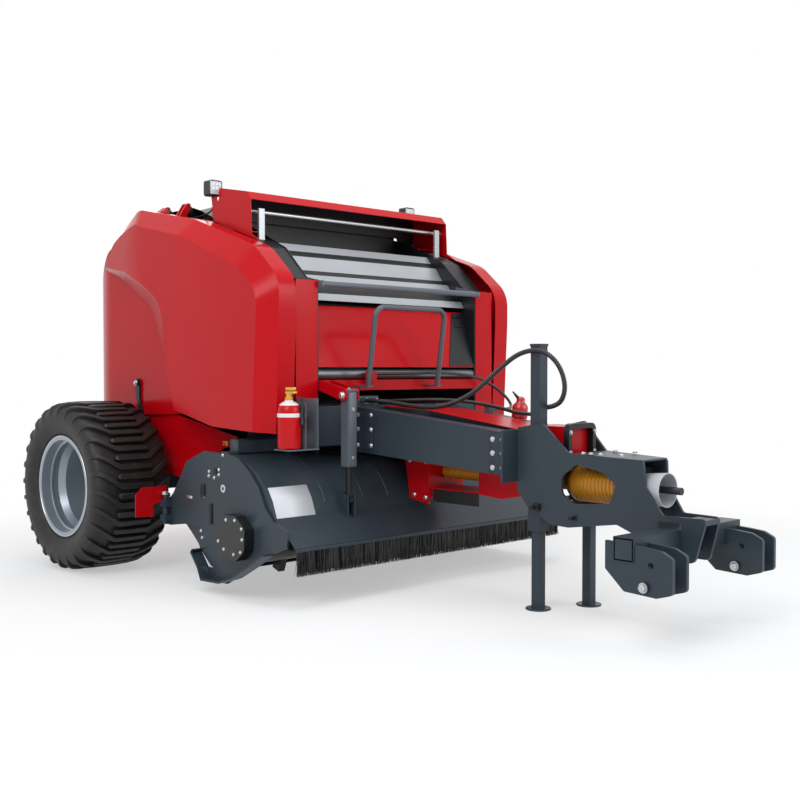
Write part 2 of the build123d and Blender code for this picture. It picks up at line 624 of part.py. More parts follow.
tail_wall_rows = [
    (PIVOT_Y - 65, PIVOT_Z + 50, 48), (TAIL_FRONT_Y + 10, PIVOT_Z + 50, 0)
] + shrink(TAIL_ROWS, SHEET)
tail_wall_rows = tail_wall_rows[:-1] + [
    (TAIL_FRONT_Y, 720, 0), (TAIL_FRONT_Y, 1900, 20), (PIVOT_Y - 65, 1960, 48)
]
inner_plan = plan_plate(shrink(plan_rows, SHEET), 500, 2200)
tail_walls = []
for side in (-1, 1):
    low_x = TAIL_WALL_X if side > 0 else -TAIL_WALL_X - PLATE
    tail_wall = side_plate(tail_wall_rows, low_x, low_x + PLATE) & inner_plan
    pivot_bore = rod(
        "X", PIVOT_Y, PIVOT_Z, PIVOT_RADIUS + BEARING_FIT, side * TAIL_WALL_X - 30, side * TAIL_WALL_X + 30
    )
    tail_walls.append(tail_wall - pivot_bore)
parts["tailgate_shell"] = [tail_shell]

# Tailgate rollers between the inner walls
TAIL_ROLLER_ANGLES = (70, 45, 20, -5, -30, -55)
tail_rollers = []
for angle in TAIL_ROLLER_ANGLES:
    y = CHAMBER_Y + ROLLER_CIRCLE * cos(radians(angle))
    z = CHAMBER_Z + ROLLER_CIRCLE * sin(radians(angle))
    tail_rollers.append(chamber_roller(y, z, TAIL_WALL_X))
parts["tailgate_rollers"] = tail_rollers

# Tailgate rams: the barrel's eye on the chamber wall, the rod's eye on the tailgate wall
RAM_EYE_Y = 105
RAM_EYE_Z = 1765
RAM_EYE_RADIUS = 34
RAM_EYE_WIDTH = 40
RAM_BARREL_RADIUS = 38
RAM_ROD_RADIUS = 20
RAM_FIT = 0.5
ram_length = hypot(RAM_EYE_Y - RAM_BASE_Y, RAM_EYE_Z - RAM_BASE_Z)
ram_dir = ((RAM_EYE_Y - RAM_BASE_Y) / ram_length, (RAM_EYE_Z - RAM_BASE_Z) / ram_length)
RAM_BARREL_LENGTH = 780


def along_ram(distance):
    return (RAM_X, RAM_BASE_Y + ram_dir[0] * distance, RAM_BASE_Z + ram_dir[1] * distance)


half_eye = RAM_EYE_WIDTH / 2
base_eye = rod("X", RAM_BASE_Y, RAM_BASE_Z, RAM_EYE_RADIUS, RAM_X - half_eye, RAM_X + half_eye)
barrel = strut(along_ram(RAM_EYE_RADIUS - 6), along_ram(RAM_BARREL_LENGTH), RAM_BARREL_RADIUS)
barrel = barrel - strut(along_ram(60), along_ram(RAM_BARREL_LENGTH + 1), RAM_ROD_RADIUS + RAM_FIT)
barrel = barrel + base_eye - rod(
    "X", RAM_BASE_Y, RAM_BASE_Z, RAM_PIN_RADIUS + BEARING_FIT, RAM_X - 30, RAM_X + 30
)
piston = strut(along_ram(80), along_ram(ram_length - RAM_EYE_RADIUS + 6), RAM_ROD_RADIUS)
rod_eye = rod("X", RAM_EYE_Y, RAM_EYE_Z, RAM_EYE_RADIUS, RAM_X - half_eye, RAM_X + half_eye)
piston = piston + rod_eye
for side, suffix in ((1, "left"), (-1, "right")):
    parts["ram_barrel_" + suffix] = [barrel if side > 0 else mirror(barrel, about=Plane.YZ)]
    parts["ram_rod_" + suffix] = [piston if side > 0 else mirror(piston, about=Plane.YZ)]
CHEEK = 8
CHEEK_GAP = 6
cheek_rows = [
    (RAM_EYE_Y - 30, RAM_EYE_Z + 30, 25), (RAM_EYE_Y - 30, RAM_EYE_Z - 30, 25),
    (RAM_EYE_Y + 40, RAM_EYE_Z - 40, 20),
    (RAM_EYE_Y + 140, RAM_EYE_Z - 60, 0), (RAM_EYE_Y + 140, RAM_EYE_Z + 60, 0),
    (RAM_EYE_Y + 40, RAM_EYE_Z + 40, 20),
]
cheek_x = RAM_X + half_eye + CHEEK_GAP
outer_cheek = side_plate(cheek_rows, cheek_x, cheek_x + CHEEK)
inner_cheek = side_plate(cheek_rows, RAM_X - half_eye - CHEEK_GAP - CHEEK, RAM_X - half_eye - CHEEK_GAP)
cheek_web = block(
    TAIL_WALL_X + PLATE - 2, cheek_x + CHEEK, RAM_EYE_Y + 132, RAM_EYE_Y + 140, RAM_EYE_Z - 60,
    RAM_EYE_Z + 60
)
pin_head = rod("X", RAM_EYE_Y, RAM_EYE_Z, RAM_PIN_RADIUS, cheek_x + CHEEK - 1, cheek_x + CHEEK + 8)
bracket = join(outer_cheek, inner_cheek, cheek_web, pin_head)
parts["tailgate_walls"] = [tail_walls[1] + bracket, tail_walls[0] + mirror(bracket, about=Plane.YZ)]

# Tail lamps in the rounded rear corners, and the latch arms on the recessed sides
LAMP_WIDTH = 180
LAMP_HEIGHT = 90
lamps = []
for side in (-1, 1):
    lamp = block(
        side * 430 - LAMP_WIDTH / 2, side * 430 + LAMP_WIDTH / 2, TAIL_REAR_Y - 60,
        TAIL_REAR_Y + TAIL_LAMP_PROUD, 1180, 1180 + LAMP_HEIGHT
    )
    lamps.append(fillet(lamp.edges().filter_by(Axis.Y), 12) - tail_outer)
parts["tail_lamps"] = lamps
LATCH_Y = -45
LATCH_Z = 1130
latch_rows = [
    (LATCH_Y - 26, LATCH_Z + 26, 24), (LATCH_Y + 26, LATCH_Z + 26, 24), (LATCH_Y + 22, LATCH_Z - 60, 20),
    (-120, 800, 10), (-160, 800, 10), (LATCH_Y - 26, LATCH_Z - 90, 40)
]
latch = side_plate(latch_rows, RECESS_X + 3, RECESS_X + 15)
latch_boss = rod("X", LATCH_Y, LATCH_Z, 20, RECESS_X, RECESS_X + 22)
parts["latch_arms"] = both(join(latch, latch_boss))

# Head: two side plates with skids, a top tube, a curved hood with its deflector and a floor
HEAD_OUTLINE = [
    (-640, 400, 10), (-765, 513, 0), (-853, 631, 0), (-897, 696, 15), (-1072, 764, 20), (-1304, 761, 10),
    (-1400, 742, 40), (-1500, 672, 60),
    (-1571, 604, 40), (-1634, 493, 20), (-1697, 437, 15), (-1821, 396, 10), (-1808, 312, 10),
    (-1684, 266, 20), (-1546, 185, 40), (-1409, 113, 20),
    (-1285, 100, 20), (-1180, 112, 20), (-1057, 215, 30), (-957, 299, 40), (-894, 345, 20), (-733, 322, 10),
    (-640, 330, 10),
]
head_plate = side_plate(HEAD_OUTLINE, HEAD_SIDE_X, HEAD_SIDE_X + HEAD_SIDE_PLATE)
shaft_hole = rod("X", ROTOR_Y, ROTOR_Z, ROTOR_SHAFT_RADIUS + BEARING_FIT, HEAD_SIDE_X - 5, HEAD_SIDE_X + 20)
SKID_WIDTH = 70
SKID_BOTTOM_Z = 52
skid_rows = [
    (-1690, 262), (-1550, 180), (-1409, 106), (-1290, SKID_BOTTOM_Z + 16), (-1120, SKID_BOTTOM_Z + 10),
    (-1085, 130), (-1020, 205), (-1035, 225),
]
skid = sheet_strip(skid_rows, 10, HEAD_SIDE_X, HEAD_SIDE_X + SKID_WIDTH)
skid_web = side_plate(
    [(-1400, 116, 0), (-1290, SKID_BOTTOM_Z + 8, 0), (-1120, SKID_BOTTOM_Z + 4, 0), (-1095, 130, 0)],
    HEAD_SIDE_X, HEAD_SIDE_X + HEAD_SIDE_PLATE
)
HEAD_ARM_X = WALL_X + 125
arm_rows = [
    (HEAD_PIVOT_Y - 40, HEAD_PIVOT_Z - 40, 38), (HEAD_PIVOT_Y + 40, HEAD_PIVOT_Z - 40, 38),
    (HEAD_PIVOT_Y + 40, HEAD_PIVOT_Z + 40, 38), (-1227, 834, 0), (-1227, 756, 0)
]
head_arm = side_plate(arm_rows, HEAD_ARM_X, HEAD_ARM_X + 18)
head_arm = head_arm - rod(
    "X", HEAD_PIVOT_Y, HEAD_PIVOT_Z, HEAD_PIN_RADIUS + BEARING_FIT, HEAD_ARM_X - 5, HEAD_ARM_X + 25
)
HEAD_TUBE = 78
HEAD_TUBE_FRONT = -1305
HEAD_TUBE_BOTTOM = 756
HEAD_TUBE_HALF = HEAD_SIDE_X - 55
tube = block(
    -HEAD_TUBE_HALF, HEAD_TUBE_HALF, HEAD_TUBE_FRONT, HEAD_TUBE_FRONT + HEAD_TUBE, HEAD_TUBE_BOTTOM,
    HEAD_TUBE_BOTTOM + HEAD_TUBE
)
tube = fillet(tube.edges().filter_by(Axis.X), 10)
tube_bore = block(
    -HEAD_TUBE_HALF + 8, HEAD_TUBE_HALF - 8, HEAD_TUBE_FRONT + 6, HEAD_TUBE_FRONT + HEAD_TUBE - 6,
    HEAD_TUBE_BOTTOM + 6, HEAD_TUBE_BOTTOM + HEAD_TUBE - 6,
)
tube_end = block(
    HEAD_TUBE_HALF - 2, HEAD_SIDE_X + HEAD_SIDE_PLATE, HEAD_TUBE_FRONT + 12,
    HEAD_TUBE_FRONT + HEAD_TUBE - 12, HEAD_TUBE_BOTTOM + 1, HEAD_TUBE_BOTTOM + 15
)
head_sides = []
for side in (-1, 1):
    group = join(head_plate - shaft_hole, skid, skid_web, tube_end)
    head_sides.append(group if side > 0 else mirror(group, about=Plane.YZ))
parts["head_frame"] = [join(tube - tube_bore, *both(head_arm), *head_sides)]
hood_points = []
for angle in (92, 104, 116, 128, 140, 152, 164):
    hood_points.append(
        (HOOD_Y + HOOD_RADIUS * cos(radians(angle)), HOOD_Z + HOOD_RADIUS * sin(radians(angle)))
    )
DEFLECTOR_TIP = (-1870, 315)
hood_points = [(-1227, 755.5)] + hood_points + [DEFLECTOR_TIP]
hood = sheet_strip(hood_points, 6, -HEAD_SIDE_X, HEAD_SIDE_X)
floor_points = [(-1250, 118), (-1120, 135), (-1020, 215), (-940, 330), (-900, 440)]
floor_sheet = sheet_strip(floor_points[::-1], -6, -HEAD_SIDE_X, HEAD_SIDE_X)
BRUSH_Y = -1866
brush = sheet_strip([(BRUSH_Y, 310), (BRUSH_Y + 6, 165)], 14, -HEAD_SIDE_X + 40, HEAD_SIDE_X - 40)
parts["brush_curtain"] = [brush]

# Head rotor: a drum with rows of fixed teeth, on bearings in the side plates
drum = rod("X", ROTOR_Y, ROTOR_Z, ROTOR_DRUM_RADIUS, -HEAD_SIDE_X + 25, HEAD_SIDE_X - 25)
drum = drum - rod("X", ROTOR_Y, ROTOR_Z, ROTOR_DRUM_RADIUS - 12, -HEAD_SIDE_X + 37, HEAD_SIDE_X - 25)
shaft = rod("X", ROTOR_Y, ROTOR_Z, ROTOR_SHAFT_RADIUS, -HEAD_SIDE_X - 8, HEAD_SIDE_X + 8)
TOOTH_COUNT = 18
TOOTH_WIDTH = 42
TOOTH_LENGTH = 60
teeth = []
for i in range(TOOTH_COUNT):
    x = -HEAD_SIDE_X + 75 + i * (2 * HEAD_SIDE_X - 150) / (TOOTH_COUNT - 1)
    tooth = block(
        x - TOOTH_WIDTH / 2, x + TOOTH_WIDTH / 2, ROTOR_Y - TOOTH_LENGTH / 2, ROTOR_Y + TOOTH_LENGTH / 2,
        ROTOR_Z + ROTOR_DRUM_RADIUS - 8, ROTOR_Z + ROTOR_TIP_RADIUS - 3
    )
    teeth.append(tooth.rotate(Axis((0, ROTOR_Y, ROTOR_Z), (1, 0, 0)), i * 100))
parts["head_rotor"] = [join(drum + shaft, *teeth)]

# Drive cover on the head's right side, and a plain bearing cap on its left side
GEAR_ROWS = [
    (-1321, 445, 30), (-1455, 445, 40), (-1535, 385, 40), (-1530, 265, 40), (-1450, 205, 40),
    (-1306, 225, 40), (-1275, 310, 40)
]
gear_cover = side_plate(GEAR_ROWS, -HEAD_SIDE_X - HEAD_SIDE_PLATE - 62, -HEAD_SIDE_X - HEAD_SIDE_PLATE)
gear_cover = gear_cover - rod(
    "X", ROTOR_Y, ROTOR_Z, ROTOR_SHAFT_RADIUS + 15, -HEAD_SIDE_X - HEAD_SIDE_PLATE - 30, -HEAD_SIDE_X
)
bearing_cap = rod(
    "X", ROTOR_Y, ROTOR_Z, 85, HEAD_SIDE_X + HEAD_SIDE_PLATE, HEAD_SIDE_X + HEAD_SIDE_PLATE + 28
)
parts["gear_cover"] = [gear_cover, bearing_cap]

# Red bumpers on pins at the head's rear corners, ahead of the tyres
BUMPER_PIN_X = HEAD_SIDE_X + 40
BUMPER_PIN_Y = -725
BUMPER_IN = BUMPER_PIN_X - 24
BUMPER_OUT = BUMPER_IN + 201
bumper_rows = [
    (BUMPER_IN, 545, 0), (BUMPER_OUT - 42, 545, 20), (BUMPER_OUT, 505, 20), (BUMPER_OUT, 380, 0),
    (BUMPER_IN + 89, 375, 0), (BUMPER_IN + 89, 440, 20), (BUMPER_IN, 470, 0),
]
bumper = front_plate(bumper_rows, BUMPER_PIN_Y + 25, BUMPER_PIN_Y + 33)
bumper_pin = rod("Z", BUMPER_PIN_X, BUMPER_PIN_Y, 14, 330, 500)
bumper_block = block(
    HEAD_SIDE_X + HEAD_SIDE_PLATE, BUMPER_PIN_X + 20, BUMPER_PIN_Y - 25, BUMPER_PIN_Y + 25, 350, 385
)
bumper_block_top = block(
    HEAD_SIDE_X + HEAD_SIDE_PLATE, BUMPER_PIN_X + 20, BUMPER_PIN_Y - 25, BUMPER_PIN_Y + 25, 430, 470
)
parts["bumpers"] = both(join(bumper, bumper_pin, bumper_block, bumper_block_top))

# Lift strut: a channel hung from the crossbar and a rod to the head's hood
STRUT_EYE_Y = STRUT_TOP_Y
STRUT_EYE_Z = 515
STRUT_SIZE = 62
channel = block(
    STRUT_X - STRUT_SIZE / 2, STRUT_X + STRUT_SIZE / 2, STRUT_TOP_Y - STRUT_SIZE / 2,
    STRUT_TOP_Y + STRUT_SIZE / 2, 690, STRUT_TOP_Z + 32
)
channel_bore = rod("Z", STRUT_X, STRUT_TOP_Y, 16.5, 689, STRUT_TOP_Z - 30)
channel = channel - channel_bore - rod(
    "X", STRUT_TOP_Y, STRUT_TOP_Z, STRUT_PIN_RADIUS + BEARING_FIT, STRUT_X - 60, STRUT_X + 60
)
parts["strut_channel"] = [channel]
strut_rod = rod("Z", STRUT_X, STRUT_EYE_Y, 16, STRUT_EYE_Z + 15, 960)
strut_eye = rod("X", STRUT_EYE_Y, STRUT_EYE_Z, 26, STRUT_X - 14, STRUT_X + 14)
strut_rod = strut_rod + strut_eye - rod(
    "X", STRUT_EYE_Y, STRUT_EYE_Z, STRUT_PIN_RADIUS + 3, STRUT_X - 20, STRUT_X + 20
)
parts["strut_rod"] = [strut_rod]
lug_rows = [
    (-1680, 440, 0), (-1650, 545, 0), (-1668, 548, 10), (STRUT_EYE_Y - 24, STRUT_EYE_Z + 24, 18),
    (STRUT_EYE_Y - 24, STRUT_EYE_Z - 24, 18), (-1745, 408, 0)
]
strut_lugs = [side_plate(lug_rows, STRUT_X + s * 24 - 4, STRUT_X + s * 24 + 4) for s in (-1, 1)]
strut_pin = rod("X", STRUT_EYE_Y, STRUT_EYE_Z, STRUT_PIN_RADIUS, STRUT_X - 28, STRUT_X + 28)
parts["head_hood"] = [join(hood, *strut_lugs, strut_pin), floor_sheet]

# Drawbar beams: sloping boxes that draw together towards the nose, with a flange plate at each end
BEAM_REAR = (-335, FRONT_Y - 14, 755, 1005)
BEAM_FRONT = (-222, -2570, 675, 895)
FLANGE = 14
half_w = BEAM_WIDTH / 2


def beam_solid(inset, over):
    rows = [(BEAM_REAR[1] + over, BEAM_REAR[2] + inset, 0), (BEAM_REAR[1] + over, BEAM_REAR[3] - inset, 0),
            (BEAM_FRONT[1] - over, BEAM_FRONT[3] - inset, 0), (BEAM_FRONT[1] - over, BEAM_FRONT[2] + inset, 0)]
    w = half_w - inset
    plan = [(BEAM_REAR[0] - w, BEAM_REAR[1] + over, 0), (BEAM_REAR[0] + w, BEAM_REAR[1] + over, 0),
            (BEAM_FRONT[0] + w, BEAM_FRONT[1] - over, 0), (BEAM_FRONT[0] - w, BEAM_FRONT[1] - over, 0)]
    return side_plate(rows, -500, 0) & plan_plate(plan, 500, 1200)


rear_flange = block(BEAM_REAR[0] - 70, BEAM_REAR[0] + 70, FRONT_Y - FLANGE, FRONT_Y, FLANGE_BOTTOM, CROSS_TOP)
front_flange = block(
    BEAM_FRONT[0] - 95, BEAM_FRONT[0] + 75, BEAM_FRONT[1] - FLANGE, BEAM_FRONT[1], BEAM_FRONT[2] - 30,
    BEAM_FRONT[3] + 15
)
drawbar = join(beam_solid(0, 0) - beam_solid(BEAM_WALL, 1), rear_flange, front_flange)

# Red cover over the driveline, between the beams
cover_top = sheet_strip([(FRONT_Y - 20, 1000), (-1900, 985), (-2540, 905)][::-1], 3, -150, 150)
cover_feet = [block(s * 120 - 20, s * 120 + 20, FRONT_Y - 26, FRONT_Y, 996, 1000) for s in (-1, 1)]
parts["driveline_cover"] = [join(cover_top, *cover_feet)]

# Main gearbox between two side plates, with a guard frame ahead of it, and the driveline that comes from
# the nose
GEARBOX_FRONT_Y = -1893
GEARBOX_PLATE = 12
GEARBOX_HALF = 140
GEARBOX_MOUNT_Z = 732
gearbox_rows = [
    (-1700, GEARBOX_MOUNT_Z, 0), (GEARBOX_FRONT_Y, GEARBOX_MOUNT_Z, 0), (GEARBOX_FRONT_Y, 466, 0),
    (-1744, 486, 0)
]
gearbox_plate = side_plate(gearbox_rows, GEARBOX_HALF - GEARBOX_PLATE, GEARBOX_HALF)
gearbox_case = block(-GEARBOX_HALF + 20, GEARBOX_HALF - 20, GEARBOX_FRONT_Y + 8, -1760, 500, GEARBOX_MOUNT_Z)
gearbox_case = chamfer(gearbox_case.edges().filter_by(Axis.X), 30)
gearbox_deck = block(
    -GEARBOX_HALF, GEARBOX_HALF, GEARBOX_FRONT_Y, -1700, GEARBOX_MOUNT_Z - 12, GEARBOX_MOUNT_Z + 4
)
gearbox_mount = block(-110, 110, -1705, FRONT_Y, GEARBOX_MOUNT_Z, GEARBOX_MOUNT_Z + 20)
gearbox_mount = join(gearbox_mount, block(-110, 110, FRONT_Y - 30, FRONT_Y, GEARBOX_MOUNT_Z, 860))
gearbox_web = block(
    -GEARBOX_HALF + 5, GEARBOX_HALF - 5, GEARBOX_FRONT_Y, GEARBOX_FRONT_Y + 12, 500, GEARBOX_MOUNT_Z - 6
)
GUARD_HALF = 112
GUARD_TIP_Y = -2543
guard_lid = side_plate(
    [
        (GEARBOX_FRONT_Y + 2, 716, 0), (-2246, 706, 0), (GUARD_TIP_Y, 702, 0), (GUARD_TIP_Y, 697, 0),
        (GEARBOX_FRONT_Y + 2, 697, 0)
    ],
    -GUARD_HALF, GUARD_HALF
)
guard_floor = block(-GUARD_HALF, GUARD_HALF, -2250, GEARBOX_FRONT_Y + 2, 548, 556)
guard_cheek = side_plate(
    [(-2240, 700, 0), (GUARD_TIP_Y, 698, 0), (GUARD_TIP_Y, 560, 0), (-2400, 533, 0), (-2240, 545, 0)],
    GUARD_HALF - 6, GUARD_HALF
)
DRIVE_RADIUS = 42
CLUTCH_RADIUS = 95
CLUTCH = (-3120, -2830)
DRIVE_STUB_RADIUS = 20
SHAFT_HOLE_Y = GEARBOX_FRONT_Y - MOVING_GAP
drive_shaft = rod("Y", 0, SHAFT_Z, DRIVE_RADIUS, CLUTCH[1] - 5, SHAFT_HOLE_Y)
drive_shaft = drive_shaft + rod("Y", 0, SHAFT_Z, DRIVE_STUB_RADIUS, SHAFT_HOLE_Y - 2, SHAFT_HOLE_Y + 50)
clutch = rod("Y", 0, SHAFT_Z, CLUTCH_RADIUS, CLUTCH[0], CLUTCH[1])
clutch_nose = rod("Y", 0, SHAFT_Z, 60, CLUTCH[0] - 70, CLUTCH[0] + 5)
SHAFT_SPIGOT_RADIUS = 15
clutch_nose = clutch_nose - rod("Y", 0, SHAFT_Z, SHAFT_SPIGOT_RADIUS, CLUTCH[0] - 75, CLUTCH[0] - 2)
gearbox_bore = rod("Y", 0, SHAFT_Z, DRIVE_STUB_RADIUS + BEARING_FIT, GEARBOX_FRONT_Y - 1, SHAFT_HOLE_Y + 52)
gearbox = join(
    *both(gearbox_plate), gearbox_case, gearbox_deck, gearbox_mount, gearbox_web, guard_lid, guard_floor,
    *both(guard_cheek)
)
parts["gearbox"] = [gearbox - gearbox_bore]
parts["gearbox_flap"] = [block(-GUARD_HALF, -GUARD_HALF + 6, -2240, GEARBOX_FRONT_Y - 4, 478, 548)]
parts["driveline"] = [join(drive_shaft, clutch, clutch_nose)]
input_shaft = rod("Y", 0, SHAFT_Z, SHAFT_RADIUS, SHAFT_TIP_Y, CLUTCH[0] - 70)
parts["input_shaft"] = [
    input_shaft + rod("Y", 0, SHAFT_Z, SHAFT_SPIGOT_RADIUS, CLUTCH[0] - 71, CLUTCH[0] - 2)
]

# Nose: two upright plates that taper together, a top sheet, cross plates and the bell guard's bracket
NOSE_OUTLINE = [
    (-2584, 920, 0), (-2724, 947, 20), (-2874, 801, 20), (-3267, 787, 20), (-3273, 668, 20),
    (-3366, 536, 20), (-3577, 537, 20),
    (-3520, 330, 30), (-3330, 325, 20), (-3270, 416, 30), (-3133, 474, 20), (-2875, 437, 20),
    (-2777, 443, 20), (-2647, 517, 20), (-2584, 600, 0),
]
WINDOW = [
    (-2836, 688, 30), (-2837, 600, 30), (-2908, 556, 30), (-3097, 570, 30), (-3127, 667, 30),
    (-3055, 719, 30), (-2917, 750, 30)
]
NOSE_REAR = (-200, -2584)
NOSE_FRONT = (-62, -3590)


def nose_half_width(y):
    share = (y - NOSE_REAR[1]) / (NOSE_FRONT[1] - NOSE_REAR[1])
    return -(NOSE_REAR[0] + (NOSE_FRONT[0] - NOSE_REAR[0]) * share)


nose_plan = [
    (NOSE_REAR[0], NOSE_REAR[1], 0), (NOSE_REAR[0] + NOSE_PLATE, NOSE_REAR[1], 0),
    (NOSE_FRONT[0] + NOSE_PLATE, NOSE_FRONT[1], 0), (NOSE_FRONT[0], NOSE_FRONT[1], 0)
]
nose_plate = side_plate(NOSE_OUTLINE, -260, 0) & plan_plate(nose_plan, 200, 1100)
nose_plate = nose_plate - side_plate(WINDOW, -260, 0)
half_tube = HITCH_TUBE / 2
half_window = half_tube + SEAT_GAP
WINDOW_OVER_TUBE = 30
tube_window = block(
    -300, 300, HITCH_TUBE_Y - half_window, HITCH_TUBE_Y + half_window, HITCH_TUBE_Z - half_window,
    HITCH_TUBE_Z + half_tube + WINDOW_OVER_TUBE,
)
nose_plate = nose_plate - tube_window


def nose_web(rows_y, z0, z1):
    """A plate across the nose between y0 and y1, as wide as the plates stand apart."""
    y0, y1 = rows_y
    w0 = nose_half_width(y0) - 2
    w1 = nose_half_width(y1) - 2
    return plan_plate([(-w0, y0, 0), (w0, y0, 0), (w1, y1, 0), (-w1, y1, 0)], z0, z1)


nose_top = sheet_strip([(-2880, 801), (-3262, 788)], 8, -210, 210) & nose_web((-3262, -2882), 700, 1000)
tip_web = nose_web((-3570, -3470), 505, 530)
foot_web = nose_web((-2872, -2826), 446, 458)
flange_web = block(-190, 190, -2594, -2584, 600, 915) - rod("Y", 0, SHAFT_Z, 70, -2600, -2570)
LEG_WEB = 12
right_leg_web = nose_web((LEG_Y_RIGHT - 40, LEG_Y_RIGHT + 40), 540, 540 + LEG_WEB)
left_leg_web = nose_web((LEG_Y_LEFT - 40, LEG_Y_LEFT + 40), 470, 470 + LEG_WEB)
nose_pieces = [
    nose_plate, mirror(nose_plate, about=Plane.YZ), nose_top, tip_web, foot_web, flange_web, right_leg_web,
    left_leg_web
]
GUARD_REAR_Y = -3185
GUARD_FRONT_Y = -3335
GUARD_RADIUS = 82
guard_plane = Plane(origin=(0, 0, SHAFT_Z), x_dir=(0, 1, 0), z_dir=(1, 0, 0))
guard_rows = [
    (GUARD_REAR_Y, 63, 0), (GUARD_REAR_Y, 68, 0), (GUARD_REAR_Y - 50, GUARD_RADIUS - 8, 0),
    (GUARD_FRONT_Y, GUARD_RADIUS, 0),
    (GUARD_FRONT_Y, GUARD_RADIUS - 4, 0), (GUARD_REAR_Y - 50, GUARD_RADIUS - 12, 0),
]
guard = revolve(outline(guard_rows, guard_plane), Axis((0, 0, SHAFT_Z), (0, 1, 0)), 360)
parts["input_guard"] = [guard]
bearing_plate = nose_web((-3185, -3175), 560, 740) - rod("Y", 0, SHAFT_Z, 60 + BEARING_FIT, -3200, -3160)
nose_pieces.append(bearing_plate)

# Cross tube through the nose, and the clevises for the tractor's lower links
CLEVIS_ROWS = [
    (-3300, 455, 0), (-3507, 444, 20), (-3590, 436, 30), (HITCH_FRONT_Y, 410, 20), (HITCH_FRONT_Y, 256, 20),
    (-3567, 232, 30), (-3400, 240, 20), (-3300, 330, 20),
]
tube_wall = half_tube - HITCH_WALL
cross_tube = block(
    -HITCH_TUBE_HALF, HITCH_TUBE_HALF, HITCH_TUBE_Y - half_tube, HITCH_TUBE_Y + half_tube,
    HITCH_TUBE_Z - half_tube, HITCH_TUBE_Z + half_tube,
)
tube_hollow = block(
    -HITCH_TUBE_HALF - 1, HITCH_TUBE_HALF + 1, HITCH_TUBE_Y - tube_wall, HITCH_TUBE_Y + tube_wall,
    HITCH_TUBE_Z - tube_wall, HITCH_TUBE_Z + tube_wall,
)
clevis_plates = []
for x in (-CLEVIS_OUTER_X, -CLEVIS_INNER_X, CLEVIS_INNER_X, CLEVIS_OUTER_X):
    ear = side_plate(CLEVIS_ROWS, x - CLEVIS_PLATE / 2, x + CLEVIS_PLATE / 2)
    ear = ear - rod("X", CLEVIS_BORE_Y, CLEVIS_BORE_Z, CLEVIS_BORE_RADIUS, x - 20, x + 20)
    clevis_plates.append(ear)
bolts = []
for side in (-1, 1):
    middle = side * (CLEVIS_INNER_X + CLEVIS_OUTER_X) / 2
    reach = (CLEVIS_OUTER_X - CLEVIS_INNER_X) / 2 + CLEVIS_PLATE / 2 + 14
    bolts.append(rod("X", CLEVIS_BOLT_Y, CLEVIS_BOLT_Z, CLEVIS_BOLT_RADIUS, middle - reach, middle + reach))
parts["cross_tube"] = [join(cross_tube, *clevis_plates, *bolts) - tube_hollow]

# Parking legs inside the nose: square sleeves, and inner tubes on round feet
LEGS = [
    # name, x, y, sleeve bottom, sleeve top, inner tube's top
    ("right", -LEG_X_RIGHT, LEG_Y_RIGHT, 400, 1330, 760),
    ("left", LEG_X_LEFT, LEG_Y_LEFT, 430, 600, 540),
]
leg_cap = block(-LEG_X_RIGHT - 33, -LEG_X_RIGHT + 33, LEG_Y_RIGHT - 33, LEG_Y_RIGHT + 33, 1330, 1342)
half_collar = LEG_COLLAR / 2
leg_collar = block(
    -LEG_X_RIGHT - half_collar, -LEG_X_RIGHT + half_collar, LEG_Y_RIGHT - half_collar,
    LEG_Y_RIGHT + half_collar, 400, LEG_COLLAR_TOP_Z,
)
nose_pieces += [leg_cap, leg_collar]
sleeve_bores = []
inner_half = LEG_TUBE / 2 - LEG_TUBE_WALL
half_leg = LEG_TUBE / 2
for name, x, y, low, high, top in LEGS:
    nose_pieces.append(block(x - half_leg, x + half_leg, y - half_leg, y + half_leg, low, high))
    bore_top = high - 6 if high > 1000 else high + 1
    sleeve_bores.append(
        block(x - inner_half, x + inner_half, y - inner_half, y + inner_half, low - 1, bore_top)
    )
    inner_tube = block(
        x - LEG_INNER / 2, x + LEG_INNER / 2, y - LEG_INNER / 2, y + LEG_INNER / 2, LEG_FOOT, top
    )
    foot = rod("Z", x, y, LEG_FOOT_RADIUS, 0, LEG_FOOT)
    parts["leg_" + name] = [inner_tube + foot]
nose_frame = join(*nose_pieces)
for leg_bore in sleeve_bores:
    nose_frame = nose_frame - leg_bore
parts["nose_frame"] = [nose_frame]

# Red guard box between the nose plates at their rear top, with a rounded frame ahead of it and the hoses'
# bulkhead on it
NOSE_BOX_HALF = 98
NOSE_BOX_TOP = 928
NOSE_BOX_FRONT_Y = -2806
nose_box = block(-NOSE_BOX_HALF, NOSE_BOX_HALF, NOSE_BOX_FRONT_Y, -2594, 768, NOSE_BOX_TOP)
nose_box = nose_box - block(
    -NOSE_BOX_HALF + 4, NOSE_BOX_HALF - 4, NOSE_BOX_FRONT_Y + 4, -2590, 760, NOSE_BOX_TOP - 4
)
parts["nose_box"] = [nose_box]
frame_outer = [(-112, 760, 30), (112, 760, 30), (112, 944, 36), (-112, 944, 36)]
frame_inner = [(-86, 786, 12), (86, 786, 12), (86, 918, 16), (-86, 918, 16)]
frame_ring = front_plate(frame_outer, NOSE_BOX_FRONT_Y - 34, NOSE_BOX_FRONT_Y) - front_plate(
    frame_inner, NOSE_BOX_FRONT_Y - 35, NOSE_BOX_FRONT_Y + 1
)
parts["nose_box_frame"] = [frame_ring]
BULKHEAD_Y = -2614
BULKHEAD = 12
bulkhead = block(-108, -40, BULKHEAD_Y, BULKHEAD_Y + BULKHEAD, NOSE_BOX_TOP, 1046)
parts["hose_bulkhead"] = [fillet(bulkhead.edges().filter_by(Axis.Y).group_by(Axis.Z)[-1], 12)]

